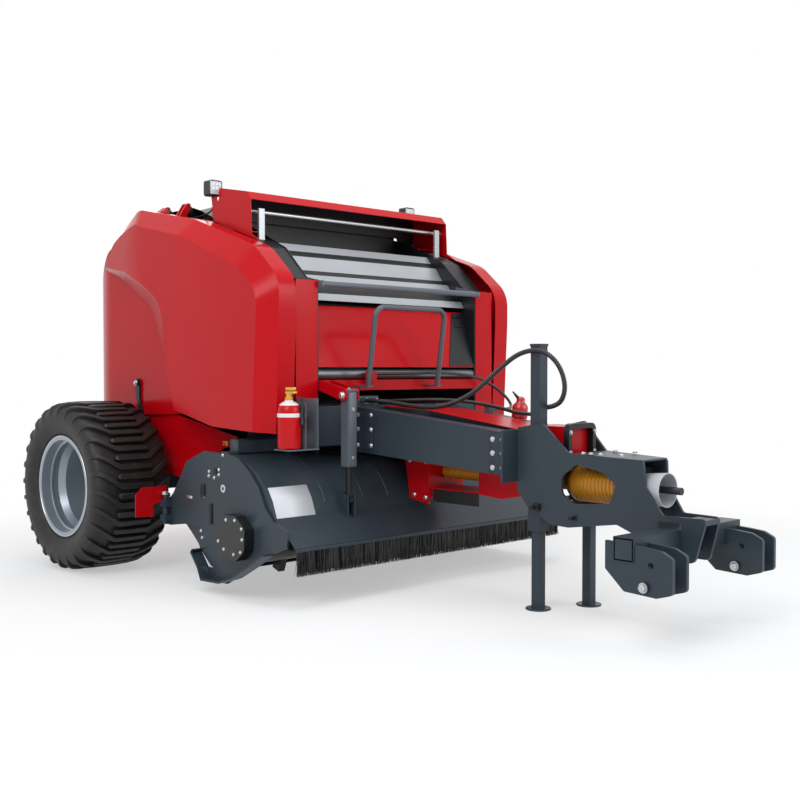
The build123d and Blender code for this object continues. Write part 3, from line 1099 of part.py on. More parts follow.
# Handrail loop above the drawbar
RAIL_RADIUS = 15
RAIL_FOOT = (-1625, 1120)
RAIL_TOP = (-1690, 1560)
RAIL_LEGS = (-350, 200)
rail_points = [
    (RAIL_LEGS[0], *RAIL_FOOT), (RAIL_LEGS[0], *RAIL_TOP), (RAIL_LEGS[1], *RAIL_TOP),
    (RAIL_LEGS[1], *RAIL_FOOT)
]
rail_path = FilletPolyline(*rail_points, radius=60)
rail_section = Plane(
    origin=rail_points[0], z_dir=(0, RAIL_TOP[0] - RAIL_FOOT[0], RAIL_TOP[1] - RAIL_FOOT[1])
) * Circle(RAIL_RADIUS)
rail_feet = [
    block(x - 20, x + 20, RAIL_FOOT[0] - 20, FRONT_Y - 10, RAIL_FOOT[1] - 6, RAIL_FOOT[1] + 4)
    for x in RAIL_LEGS
]
parts["handrail"] = [join(sweep(rail_section, path=rail_path), *rail_feet)]

# Fire extinguisher in its bracket, carried by an arm from the right front post
EXT_X = -(SEAM_X + 138)
EXT_Y = -1650
EXT_RADIUS = 62
EXT_POST_X = 12 - SEAM_X
EXT_SHELF_Z = 797
bottle = rod("Z", EXT_X, EXT_Y, EXT_RADIUS, EXT_SHELF_Z + SEAT_GAP, 1010)
bottle_top = Pos(EXT_X, EXT_Y, 1030) * Cone(EXT_RADIUS, 24, 40)
neck = rod("Z", EXT_X, EXT_Y, 16, 1045, 1096)
lever = block(EXT_X - 14, EXT_X + 14, EXT_Y - 58, EXT_Y + 24, 1090, 1122)
parts["fire_extinguisher"] = [join(bottle, bottle_top, neck, lever)]
ext_back_x = EXT_X + EXT_RADIUS + SEAT_GAP
ext_shelf = block(EXT_X - 50, EXT_POST_X, EXT_Y - 66, EXT_Y + 66, EXT_SHELF_Z - 7, EXT_SHELF_Z)
ext_back = block(ext_back_x, ext_back_x + 6, EXT_Y - 60, EXT_Y + 60, EXT_SHELF_Z - 7, 1035)
ext_band = block(ext_back_x, EXT_POST_X, EXT_Y + 20, EXT_Y + 60, 960, 1000)
ext_arm = block(EXT_POST_X - 6, EXT_POST_X, EXT_Y - 60, FRONT_Y - 4, 790, 1060)
parts["extinguisher_bracket"] = [join(ext_shelf, ext_back, ext_band, ext_arm)]

# Oil can on the far beam
OIL_Y = -2200
beam_slope = atan2(BEAM_REAR[3] - BEAM_FRONT[3], BEAM_REAR[1] - BEAM_FRONT[1])
oil_share = (OIL_Y - BEAM_REAR[1]) / (BEAM_FRONT[1] - BEAM_REAR[1])
oil_x = -(BEAM_REAR[0] + (BEAM_FRONT[0] - BEAM_REAR[0]) * oil_share)
oil_z = BEAM_REAR[3] + (BEAM_FRONT[3] - BEAM_REAR[3]) * oil_share
can = fillet(block(-45, 45, -70, 70, 0, 130).edges().filter_by(Axis.Z), 15)
spout = rod("Z", 0, -35, 16, 125, 165)
parts["oil_can"] = [Pos(oil_x, OIL_Y, oil_z + SEAT_GAP) * Rot(degrees(beam_slope), 0, 0) * join(can, spout)]

# Work lamps on the hood's side plates
LAMP = (HOOD_PLATE_X, -760, 2225)
lamp_body = block(LAMP[0] - 45, LAMP[0] + 45, LAMP[1] - 30, LAMP[1] + 30, LAMP[2], LAMP[2] + 92)
lamp_body = fillet(lamp_body.edges().filter_by(Axis.Y), 15)
parts["work_lamps"] = both(lamp_body)

# Hoses and the lamp's cable: straight runs joined by tangent arcs, held at both ends and free between them


def cord_path(points):
    runs = [(Vector(*b) - Vector(*a)) for a, b in zip(points, points[1:])]
    radii = []
    for before, after in zip(runs, runs[1:]):
        turn = radians(before.get_angle(after))
        radii.append(0.45 * min(before.length, after.length) / tan(turn / 2))
    return FilletPolyline(*points, radius=radii), radii


def cord(name, points, diameter):
    path, radii = cord_path(points)
    section = Plane(origin=points[0], z_dir=Vector(*points[1]) - Vector(*points[0])) * Circle(diameter / 2)
    tube = sweep(section, path=path)
    print(name, "length", round(path.length), "diameter", diameter, "radii", [round(r) for r in radii])
    print(name, "volume", round(tube.volume), "section x length", round(path.length * pi * diameter ** 2 / 4))
    parts[name] = [tube]


MANIFOLD = (-300, -130, -1470, -1430, CROSS_TOP, CROSS_TOP + 52)
MAIN_HOSE = [
    (-250, MANIFOLD[2], 1036), (-250, -1640, 1036), (-230, -1810, 1014), (-212, -1980, 1003),
    (-204, -2140, 1030),
    (-198, -2300, 1100), (-194, -2450, 1213), (-192, -2590, 1302), (-190, -2736, 1313), (-168, -2826, 1236),
    (-122, -2832, 1112), (-84, -2745, 1018), (-84, BULKHEAD_Y, 1018),
]
SECOND_HOSE = [
    (-170, MANIFOLD[2], 1034), (-170, -1640, 1034), (-98, -1820, 1044), (-30, -2000, 1044), (6, -2180, 1024),
    (-6, -2340, 1000), (-64, -2480, 982), (-64, BULKHEAD_Y + BULKHEAD, 982),
]
CROSS_HOSE_START_X = -262
CROSS_HOSE_END_X = 345
CROSS_HOSE = [
    (CROSS_HOSE_START_X, -1580, 1190), (-20, -1580, 1190), (230, -1583, 1196), (450, -1584, 1186),
    (610, -1590, 1162),
    (715, -1614, 1114), (762, -1676, 1048), (716, -1762, 1000), (620, -1840, 984), (500, -1930, 980),
    (CROSS_HOSE_END_X, -1930, 980),
]
LAMP_CABLE = [
    (-770, -748, LAMP[2]), (-770, -748, 2184), (-769, -716, 2150), (-764, -658, 2136), (-748, -580, 2132),
    (-748, HINGE_STATIONS[1] - 6, 2132),
]
cord("main_hose", MAIN_HOSE, 26)
cord("second_hose", SECOND_HOSE, 20)
cord("cross_hose", CROSS_HOSE, 18)
cord("lamp_cable", LAMP_CABLE, 10)
parts["hose_manifold"] = [block(*MANIFOLD)]
hose_clip = block(CROSS_HOSE_START_X - 34, CROSS_HOSE_START_X, -1600, FRONT_Y - 10, 1130, 1204)
parts["front_crossbar"] = [join(crossbar, *ears, ear_pin, hose_clip)]
hose_elbow = block(300, CROSS_HOSE_END_X, -1948, -1912, 955, 1004)
parts["drawbar_beams"] = [join(cross, *both(drawbar), hose_elbow)]

os.makedirs("parts", exist_ok=True)
for name, pieces in parts.items():
    moved = [Pos(0, BOX_SHIFT_Y, 0) * solid for solid in solids_of(pieces)]
    export_step(moved[0] if len(moved) == 1 else Compound(moved), f"parts/{name}.step")
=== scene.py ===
import json
import math
import random

import bmesh
import bpy
from mathutils import Matrix, Vector

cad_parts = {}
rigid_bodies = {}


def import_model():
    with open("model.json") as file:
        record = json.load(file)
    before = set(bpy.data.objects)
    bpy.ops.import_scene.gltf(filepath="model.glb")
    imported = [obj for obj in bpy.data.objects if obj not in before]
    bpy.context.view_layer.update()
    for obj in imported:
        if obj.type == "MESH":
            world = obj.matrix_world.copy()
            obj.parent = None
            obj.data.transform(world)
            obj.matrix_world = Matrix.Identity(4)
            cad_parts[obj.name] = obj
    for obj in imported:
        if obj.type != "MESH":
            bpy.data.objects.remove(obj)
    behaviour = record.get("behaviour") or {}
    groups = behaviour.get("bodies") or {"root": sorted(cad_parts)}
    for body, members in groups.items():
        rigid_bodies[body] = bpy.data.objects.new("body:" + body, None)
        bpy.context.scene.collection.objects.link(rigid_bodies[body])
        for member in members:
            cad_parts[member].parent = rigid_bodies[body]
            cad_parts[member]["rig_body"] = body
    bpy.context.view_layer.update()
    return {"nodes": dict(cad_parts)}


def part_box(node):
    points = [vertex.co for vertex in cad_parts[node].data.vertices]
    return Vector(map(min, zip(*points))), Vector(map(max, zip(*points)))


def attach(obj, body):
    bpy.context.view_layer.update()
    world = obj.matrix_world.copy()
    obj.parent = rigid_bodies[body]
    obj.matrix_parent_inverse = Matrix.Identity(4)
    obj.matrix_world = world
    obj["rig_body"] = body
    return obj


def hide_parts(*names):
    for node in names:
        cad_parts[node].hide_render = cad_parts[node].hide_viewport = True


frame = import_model()
nodes = frame["nodes"]
scene = bpy.context.scene
random.seed(7)


# The camera stands at eye height ahead of the baler's right side. The floor is pale and
# fades into a white surround, and broad soft lamps light the machine from above.
def node_in(tree, kind, **values):
    """A shader node with its sockets or settings filled in by name."""
    node = tree.nodes.new(kind)
    for key, value in values.items():
        socket = key.replace("_", " ")
        if socket in node.inputs:
            node.inputs[socket].default_value = value
        else:
            setattr(node, key, value)
    return node


def empty_material(name):
    material = bpy.data.materials.new(name)
    material.use_nodes = True
    material.node_tree.nodes.clear()
    return material, material.node_tree


def joined(tree, *pairs):
    """Links each output to its input."""
    for output, target in pairs:
        tree.links.new(output, target)


def rays_that_see(tree):
    """1 for camera, mirror and see-through rays, 0 for light that falls on things."""
    path = node_in(tree, "ShaderNodeLightPath")
    first = node_in(tree, "ShaderNodeMath", operation="MAXIMUM")
    second = node_in(tree, "ShaderNodeMath", operation="MAXIMUM")
    joined(
        tree,
        (path.outputs["Is Camera Ray"], first.inputs[0]), (path.outputs["Is Glossy Ray"], first.inputs[1]),
        (first.outputs[0], second.inputs[0]), (path.outputs["Is Transmission Ray"], second.inputs[1]),
    )
    return second.outputs[0]


CAMERA_PLACE = (-4.48, -4.7215, 1.21)
CAMERA_DIP = 0.0272
CAMERA_TURN = -43.85
camera_data = bpy.data.cameras.new("camera")
camera_data.lens = 49.5
camera_data.sensor_width = 36
camera_data.clip_end = 200
camera = bpy.data.objects.new("camera", camera_data)
camera.location = CAMERA_PLACE
camera.rotation_euler = (math.radians(90) - CAMERA_DIP, 0, math.radians(CAMERA_TURN))
scene.collection.objects.link(camera)
scene.camera = camera
scene.view_settings.view_transform = "Standard"

world = bpy.data.worlds.new("surround")
scene.world = world
world.use_nodes = True
sky = world.node_tree
sky.nodes.clear()
sky_light = node_in(sky, "ShaderNodeBackground", Color=(0.88, 0.94, 1.0, 1), Strength=0.42)
sky_white = node_in(sky, "ShaderNodeBackground", Color=(1, 1, 1, 1), Strength=1.0)
sky_mix = node_in(sky, "ShaderNodeMixShader")
sky_out = node_in(sky, "ShaderNodeOutputWorld")
joined(
    sky,
    (rays_that_see(sky), sky_mix.inputs[0]), (sky_light.outputs[0], sky_mix.inputs[1]),
    (sky_white.outputs[0], sky_mix.inputs[2]), (sky_mix.outputs[0], sky_out.inputs[0]),
)

FLOOR_HALF = 40
FLOOR_FADE_START = 2.4
FLOOR_FADE_END = 4.6
floor_mesh = bpy.data.meshes.new("floor")
floor_corners = [(x * FLOOR_HALF, y * FLOOR_HALF, 0) for x, y in ((-1, -1), (1, -1), (1, 1), (-1, 1))]
floor_mesh.from_pydata(floor_corners, [], [(0, 1, 2, 3)])
floor = bpy.data.objects.new("floor", floor_mesh)
scene.collection.objects.link(floor)
floor_material, tree = empty_material("floor_pale")
place = node_in(tree, "ShaderNodeTexCoord")
reach = node_in(tree, "ShaderNodeVectorMath", operation="LENGTH")
fade = node_in(tree, "ShaderNodeMapRange", From_Min=FLOOR_FADE_START, From_Max=FLOOR_FADE_END, To_Min=0.45,
               interpolation_type="SMOOTHSTEP")
near = node_in(tree, "ShaderNodeBsdfDiffuse", Color=(0.93, 0.93, 0.93, 1))
far = node_in(tree, "ShaderNodeEmission", Color=(1, 1, 1, 1), Strength=1.0)
share = node_in(tree, "ShaderNodeMath", operation="MULTIPLY")
mix = node_in(tree, "ShaderNodeMixShader")
out = node_in(tree, "ShaderNodeOutputMaterial")
joined(
    tree,
    (place.outputs["Object"], reach.inputs[0]), (reach.outputs["Value"], fade.inputs["Value"]),
    (fade.outputs[0], share.inputs[0]), (rays_that_see(tree), share.inputs[1]),
    (share.outputs[0], mix.inputs[0]), (near.outputs[0], mix.inputs[1]), (far.outputs[0], mix.inputs[2]),
    (mix.outputs[0], out.inputs[0]),
)
floor.data.materials.append(floor_material)

LAMPS = [
    # name, place, aimed at, size, watts
    ("key", (-6.5, -2.5, 6.0), (0.0, 0.2, 1.0), 4.5, 285),
    ("front", (3.0, -7.5, 4.2), (0.0, -0.8, 0.9), 4.5, 240),
    ("back", (3.5, 6.5, 5.5), (0.0, 0.6, 1.0), 5.0, 130),
    ("top", (-0.5, 0.0, 7.0), (0.0, 0.0, 0.0), 5.0, 170),
]
for name, place, aim, size, power in LAMPS:
    lamp_data = bpy.data.lights.new(name, "AREA")
    lamp_data.size = size
    lamp_data.energy = power
    lamp = bpy.data.objects.new(name, lamp_data)
    lamp.location = place
    lamp.rotation_euler = (Vector(aim) - Vector(place)).to_track_quat("-Z", "Y").to_euler()
    scene.collection.objects.link(lamp)

# Hoses and the lamp's cable: rubber and braid, screwed into a block on the crossmember and a
# plate on the nose. The long one wears a ribbed sleeve and loops over the parking leg.
FLOAT, COLOUR = "NodeSocketFloat", "NodeSocketColor"
AXLE_Y = sum(corner.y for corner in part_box("tyre_right")) / 2
skin_group = bpy.data.node_groups.new("sprayed_skin", "ShaderNodeTree")
for socket, kind, value in (
    ("Paint", COLOUR, (0.5, 0.5, 0.5, 1)), ("Dust Colour", COLOUR, (0.33, 0.29, 0.24, 1)),
    ("Dust", FLOAT, 0.1), ("Tone", FLOAT, 0.06), ("Peel", FLOAT, 0.05), ("Gloss", FLOAT, 0.2),
):
    skin_group.interface.new_socket(socket, in_out="INPUT", socket_type=kind).default_value = value
for socket, kind in (("Colour", COLOUR), ("Roughness", FLOAT), ("Height", FLOAT)):
    skin_group.interface.new_socket(socket, in_out="OUTPUT", socket_type=kind)
given = skin_group.nodes.new("NodeGroupInput")
made = skin_group.nodes.new("NodeGroupOutput")


def noise_in(tree, source, scale, detail, low, high):
    """Noise over the surface, stretched so that low to high becomes 0 to 1."""
    noise = node_in(tree, "ShaderNodeTexNoise", Scale=scale, Detail=detail, Roughness=0.6)
    spread = node_in(tree, "ShaderNodeMapRange", From_Min=low, From_Max=high)
    joined(tree, (source, noise.inputs["Vector"]), (noise.outputs["Fac"], spread.inputs["Value"]))
    return spread.outputs[0]


spot = node_in(skin_group, "ShaderNodeTexCoord").outputs["Object"]
broad = noise_in(skin_group, spot, 2.2, 5.0, 0.3, 0.7)
cloud = noise_in(skin_group, spot, 14.0, 6.0, 0.48, 0.72)
fine = noise_in(skin_group, spot, 420.0, 2.0, 0.35, 0.7)
peel = noise_in(skin_group, spot, 150.0, 1.0, 0.0, 1.0)
split = node_in(skin_group, "ShaderNodeSeparateXYZ")
low_down = node_in(skin_group, "ShaderNodeMapRange", From_Min=1.1, From_Max=0.0, To_Min=0.2, To_Max=1.0)
speck = node_in(skin_group, "ShaderNodeMath", operation="MULTIPLY")
settled = node_in(skin_group, "ShaderNodeMath", operation="MULTIPLY")
dust = node_in(skin_group, "ShaderNodeMath", operation="MULTIPLY", use_clamp=True)
drift = node_in(skin_group, "ShaderNodeMath", operation="MULTIPLY_ADD")
shift = node_in(skin_group, "ShaderNodeMath", operation="SUBTRACT")
shade = node_in(skin_group, "ShaderNodeHueSaturation")
dusty = node_in(skin_group, "ShaderNodeMix", data_type="RGBA")
matt = node_in(skin_group, "ShaderNodeMath", operation="MULTIPLY_ADD", use_clamp=True)
matt.inputs[1].default_value = 0.5
shift.inputs[0].default_value = 1.0
relief = node_in(skin_group, "ShaderNodeMath", operation="MULTIPLY")
joined(
    skin_group,
    (spot, split.inputs[0]), (split.outputs["Z"], low_down.inputs["Value"]),
    (cloud, speck.inputs[0]), (fine, speck.inputs[1]),
    (speck.outputs[0], settled.inputs[0]), (low_down.outputs[0], settled.inputs[1]),
    (settled.outputs[0], dust.inputs[0]), (given.outputs["Dust"], dust.inputs[1]),
    (given.outputs["Tone"], shift.inputs[1]),
    (broad, drift.inputs[0]), (given.outputs["Tone"], drift.inputs[1]), (shift.outputs[0], drift.inputs[2]),
    (given.outputs["Paint"], shade.inputs["Color"]), (drift.outputs[0], shade.inputs["Value"]),
    (dust.outputs[0], dusty.inputs[0]), (shade.outputs[0], dusty.inputs[6]),
    (given.outputs["Dust Colour"], dusty.inputs[7]),
    (dusty.outputs[2], made.inputs["Colour"]),
    (dust.outputs[0], matt.inputs[0]), (given.outputs["Gloss"], matt.inputs[2]),
    (matt.outputs[0], made.inputs["Roughness"]),
    (peel, relief.inputs[0]), (given.outputs["Peel"], relief.inputs[1]),
    (relief.outputs[0], made.inputs["Height"]),
)


def linear(red, green, blue):
    """A screen colour of 0 to 255 as linear light."""
    steps = [c / 255 for c in (red, green, blue)]
    return tuple(c / 12.92 if c <= 0.04 else ((c + 0.055) / 1.055) ** 2.4 for c in steps) + (1,)


def finish_of(name, colour, gloss, dust=0.1, tone=0.06, peel=0.05, relief=0.0012, **shader):
    """A material: the skin group varies its colour, roughness and height over a plain shader."""
    material, tree = empty_material(name)
    body = node_in(tree, "ShaderNodeBsdfPrincipled", **shader)
    out = node_in(tree, "ShaderNodeOutputMaterial")
    skin = tree.nodes.new("ShaderNodeGroup")
    skin.node_tree = skin_group
    inputs = {"Paint": linear(*colour), "Gloss": gloss, "Dust": dust, "Tone": tone, "Peel": peel}
    for key, value in inputs.items():
        skin.inputs[key].default_value = value
    bump = node_in(tree, "ShaderNodeBump", Strength=1.0, Distance=relief)
    joined(
        tree,
        (skin.outputs["Colour"], body.inputs["Base Color"]),
        (skin.outputs["Roughness"], body.inputs["Roughness"]),
        (skin.outputs["Height"], bump.inputs["Height"]), (bump.outputs["Normal"], body.inputs["Normal"]),
        (body.outputs[0], out.inputs[0]),
    )
    return material


def at(x, y, z):
    """A place from millimetres: to the left, behind the axle, and above the ground."""
    return Vector((x / 1000, y / 1000 + AXLE_Y, z / 1000))


def route_curve(name, rows):
    """A hose's smooth line along the points of its route."""
    data = bpy.data.curves.new(name, "CURVE")
    data.dimensions = "3D"
    data.resolution_u = 16
    spline = data.splines.new("NURBS")
    spline.points.add(len(rows) - 1)
    for point, row in zip(spline.points, rows):
        point.co = (*at(*row), 1)
    spline.order_u = 3
    spline.use_endpoint_u = True
    return data


def show(name, data, material, body, replaces=()):
    """An object of this mesh or curve, riding on a body, with its finish."""
    data.materials.append(material)
    shown = bpy.data.objects.new(name, data)
    scene.collection.objects.link(shown)
    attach(shown, body)
    if replaces:
        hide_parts(*replaces)
    return shown


def plain_hose(name, rows, diameter, material):
    data = route_curve(name, rows)
    data.bevel_depth = diameter / 2
    data.bevel_resolution = 4
    data.use_fill_caps = True
    hose = show(name + "_run", data, material, "chassis", [name])


hose_rubber = finish_of("hose_rubber", (24, 24, 25), 0.42, dust=0.2, tone=0.1, peel=0.35)
sleeve_plastic = finish_of("sleeve_plastic", (30, 31, 33), 0.34, dust=0.15, tone=0.1, peel=0.1)
MAIN_HOSE = [
    (-250, -1470, 1036), (-250, -1640, 1036), (-230, -1810, 1014), (-212, -1980, 1003), (-204, -2140, 1030),
    (-198, -2300, 1100), (-194, -2450, 1213), (-192, -2590, 1302), (-190, -2736, 1313), (-168, -2826, 1236),
    (-122, -2832, 1112), (-84, -2745, 1018), (-84, -2614, 1018),
]
SECOND_HOSE = [
    (-170, -1470, 1034), (-170, -1640, 1034), (-98, -1820, 1044), (-30, -2000, 1044), (6, -2180, 1024),
    (-6, -2340, 1000), (-64, -2480, 982), (-64, -2602, 982),
]
CROSS_HOSE = [
    (-262, -1580, 1190), (-20, -1580, 1190), (230, -1583, 1196), (450, -1584, 1186), (610, -1590, 1162),
    (715, -1614, 1114), (762, -1676, 1048), (716, -1762, 1000), (620, -1840, 984), (500, -1930, 980),
    (345, -1930, 980),
]
LAMP_CABLE = [
    (-770, -748, 2225), (-770, -748, 2184), (-769, -716, 2150), (-764, -658, 2136), (-748, -580, 2132),
    (-748, -486, 2132),
]
plain_hose("second_hose", SECOND_HOSE, 0.020, hose_rubber)
plain_hose("cross_hose", CROSS_HOSE, 0.018, hose_rubber)
plain_hose("lamp_cable", LAMP_CABLE, 0.010, hose_rubber)

SLEEVE_RADIUS = 0.013
RIB_PITCH = 0.012
RIB_DEPTH = 0.0024
STEPS_PER_RIB = 4
SLEEVE_SIDES = 14
sleeve_line = bpy.data.objects.new("sleeve_line", route_curve("sleeve_line", MAIN_HOSE))
scene.collection.objects.link(sleeve_line)
line_points = [v.co.copy() for v in bpy.data.meshes.new_from_object(sleeve_line).vertices]
bpy.data.objects.remove(sleeve_line)
spans = [(b - a).length for a, b in zip(line_points, line_points[1:])]
line_length = sum(spans)
rings = round(line_length / RIB_PITCH) * STEPS_PER_RIB
stations = []
span = 0
passed = 0.0
for i in range(rings + 1):
    wanted = line_length * i / rings
    while span < len(spans) - 1 and passed + spans[span] < wanted:
        passed += spans[span]
        span += 1
    part = min((wanted - passed) / spans[span], 1.0)
    stations.append(line_points[span].lerp(line_points[span + 1], part))


def ring_faces(bm, before, ring, closed=True):
    """Faces between two lines of points of the same count, closed into a ring or open."""
    count = len(ring)
    for i in range(count if closed else count - 1):
        k = (i + 1) % count
        bm.faces.new((before[i], before[k], ring[k], ring[i]))


bm = bmesh.new()
across = Vector((0, 0, 1))
before = None
for i, centre in enumerate(stations):
    along = (stations[min(i + 1, rings)] - stations[max(i - 1, 0)]).normalized()
    across = (across - along * across.dot(along)).normalized()
    other = along.cross(across)
    radius = SLEEVE_RADIUS - (RIB_DEPTH if i % STEPS_PER_RIB in (2, 3) and i < rings - 2 else 0)
    turns = [2 * math.pi * j / SLEEVE_SIDES for j in range(SLEEVE_SIDES)]
    ring = [bm.verts.new(centre + (across * math.cos(t) + other * math.sin(t)) * radius) for t in turns]
    if before:
        ring_faces(bm, before, ring)
    else:
        bm.faces.new(ring[::-1])
    before = ring
bm.faces.new(before)


def mesh_of(name, bm, crease=35):
    """A mesh from mesh code, shaded smooth up to a crease angle in degrees."""
    bmesh.ops.recalc_face_normals(bm, faces=bm.faces)
    mesh = bpy.data.meshes.new(name)
    bm.to_mesh(mesh)
    bm.free()
    mesh.shade_smooth()
    mesh.set_sharp_from_angle(angle=math.radians(crease))
    return mesh


def show_mesh(name, bm, material, body, replaces=(), crease=35):
    """An object of this mesh code, riding on a body, with its finish."""
    return show(name, mesh_of(name, bm, crease), material, body, replaces)


sleeve = show_mesh("main_hose_sleeve", bm, sleeve_plastic, "chassis", ["main_hose"])


# Axle: a square tube with a stub at each end and two short rails on top, welded from plate
# and painted dark grey. Its edges are rolled or ground, so they catch the light softly.
def paint_where(shown, material, test):
    """A second finish on the faces whose middle passes the test."""
    shown.data.materials.append(material)
    for face in shown.data.polygons:
        if test(face.center):
            face.material_index = len(shown.data.materials) - 1


def eased(node, width, material, low=30, high=180, choose=None, segments=2):
    """A solid with its folded or cut edges eased by a width in metres, in place of the plain one."""
    source = nodes[node]
    bm = bmesh.new()
    bm.from_mesh(source.data)
    bmesh.ops.remove_doubles(bm, verts=bm.verts, dist=1e-5)
    bmesh.ops.dissolve_limit(bm, angle_limit=math.radians(0.8), verts=bm.verts, edges=bm.edges)
    bm.normal_update()
    picked = []
    for edge in bm.edges:
        if len(edge.link_faces) != 2 or edge.calc_length() < width:
            continue
        bend = math.degrees(edge.calc_face_angle(0.0))
        if low <= bend <= high and (choose is None or choose(edge)):
            picked.append(edge)
    bmesh.ops.bevel(bm, geom=picked, offset=width, offset_type="OFFSET", segments=segments, profile=0.5,
                    affect="EDGES", clamp_overlap=True)
    shown = show_mesh(node + "_eased", bm, material, source["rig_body"], [node])
    weighted = shown.modifiers.new("weighted", "WEIGHTED_NORMAL")
    weighted.keep_sharp = True
    return shown


frame_paint = finish_of(
    "frame_paint", (50, 60, 69), 0.36, dust=0.04, tone=0.08, peel=0.12, relief=0.0005,
    Specular_IOR_Level=0.3
)
eased("axle_frame", 0.006, frame_paint)

# Rims: a rolled drop-centre well welded to a pressed disc, sprayed silver. Ten nuts hold
# each disc to its hub, and a black cap closes the bearing.
rim_silver = finish_of("rim_silver", (156, 165, 175), 0.30, dust=0.18, tone=0.08, peel=0.08, Metallic=0.5)
zinc_plate = finish_of("zinc_plate", (196, 198, 200), 0.28, dust=0.05, tone=0.06, peel=0.05, Metallic=0.85)
# Black enamel for the black parts. The same finish is also painted shade in the front panel's opening, the
# nose plate's window and the net tray's folds.
black_enamel_and_shade = finish_of(
    "black_enamel_and_shade", (20, 22, 25), 0.38, dust=0.05, tone=0.1, peel=0.12, relief=0.0005,
    Specular_IOR_Level=0.35
)


def dressed(node, material):
    """A solid whose shape is right keeps it, and gets its finish and smooth shading."""
    mesh = nodes[node].data
    mesh.materials.clear()
    mesh.materials.append(material)
    for face in mesh.polygons:
        face.material_index = 0
    mesh.shade_smooth()
    mesh.set_sharp_from_angle(angle=math.radians(28))
    return nodes[node]


def turned(bm, rows, place, facing, steps=40):
    """Adds a turned form: rows of distance along its axis and radius, in metres."""
    turn = Vector(facing).to_track_quat("Z", "Y").to_matrix()
    before = None
    for along, radius in rows:
        if radius < 1e-6:
            ring = [bm.verts.new(place + turn @ Vector((0, 0, along)))] * steps
        else:
            angles = [2 * math.pi * i / steps for i in range(steps)]
            round_points = [Vector((radius * math.cos(a), radius * math.sin(a), along)) for a in angles]
            ring = [bm.verts.new(place + turn @ point) for point in round_points]
        if before:
            for i in range(steps):
                k = (i + 1) % steps
                corners = []
                for vert in (before[i], before[k], ring[k], ring[i]):
                    if vert not in corners:
                        corners.append(vert)
                if len(corners) > 2:
                    bm.faces.new(corners)
        before = ring


WASHER = 0.002


def bolt_heads(name, rows, body, across=0.018, material=zinc_plate):
    """Hexagon heads on washers, in one piece; each row is a place and the way the head faces."""
    washer, corner, chamfer = across * 0.74, across * 0.58, across * 0.46
    head_side, head_top = across * 0.42, across * 0.5
    washer_rows = [(0, 0), (0, washer), (WASHER, washer), (WASHER, across * 0.5)]
    head_rows = [(WASHER, corner), (head_side, corner), (head_top, chamfer), (head_top, 0)]
    bm = bmesh.new()
    for place, facing in rows:
        turned(bm, washer_rows, place, facing, 16)
        turned(bm, head_rows, place, facing, 6)
    return show_mesh(name, bm, material, body, crease=25)


def both_sides(x, rows):
    """Places on both sides at the same x, facing outwards; each row is a y and a z."""
    return [(at(side * x, y, z), (side, 0, 0)) for side in (-1, 1) for y, z in rows]


SIDES = ((-1, "right"), (1, "left"))
AXLE_Z = 511
NUTS = 10
NUT_CIRCLE = 112
DISC_X = 1030
CAP_X = 1065
WELL_X = 1290
LIP_X = 1363.5
VALVE_RADIUS = 268
RIM_STEPS = 96
CAP_ROWS = [(0, 0.072), (0.016, 0.072), (0.024, 0.064), (0.026, 0.0)]
LIP_ROWS = [(0, 0.3035), (0.0015, 0.3045), (0.003, 0.3035), (0.003, 0.2985), (0.0, 0.2965)]
BEAD_ROWS = [(0.0, 0.279), (0.0, 0.268), (0.004, 0.266), (0.012, 0.266), (0.016, 0.279)]
VALVE_ROWS = [(0, 0.005), (0.03, 0.005), (0.034, 0.007), (0.044, 0.007), (0.046, 0.0)]
for side, suffix in SIDES:
    dressed("rim_" + suffix, rim_silver)
    body = "wheel_" + suffix
    outward = (side, 0, 0)
    nuts = []
    for i in range(NUTS):
        turn = 2 * math.pi * i / NUTS
        nut = at(side * DISC_X, NUT_CIRCLE * math.cos(turn), AXLE_Z + NUT_CIRCLE * math.sin(turn))
        nuts.append((nut, outward))
    bolt_heads("wheel_nuts_" + suffix, nuts, body, 0.026)
    bm = bmesh.new()
    turned(bm, CAP_ROWS, at(side * CAP_X, 0, AXLE_Z), outward)
    show_mesh("hub_cap_" + suffix, bm, black_enamel_and_shade, body)
    bm = bmesh.new()
    turned(bm, LIP_ROWS, at(side * LIP_X, 0, AXLE_Z), outward, RIM_STEPS)
    turned(bm, BEAD_ROWS, at(side * WELL_X, 0, AXLE_Z), outward, RIM_STEPS)
    show_mesh("rim_bead_" + suffix, bm, zinc_plate, body)
    bm = bmesh.new()
    turned(bm, VALVE_ROWS, at(side * WELL_X, 0, AXLE_Z + VALVE_RADIUS), outward, 12)
    show_mesh("valve_" + suffix, bm, black_enamel_and_shade, body)

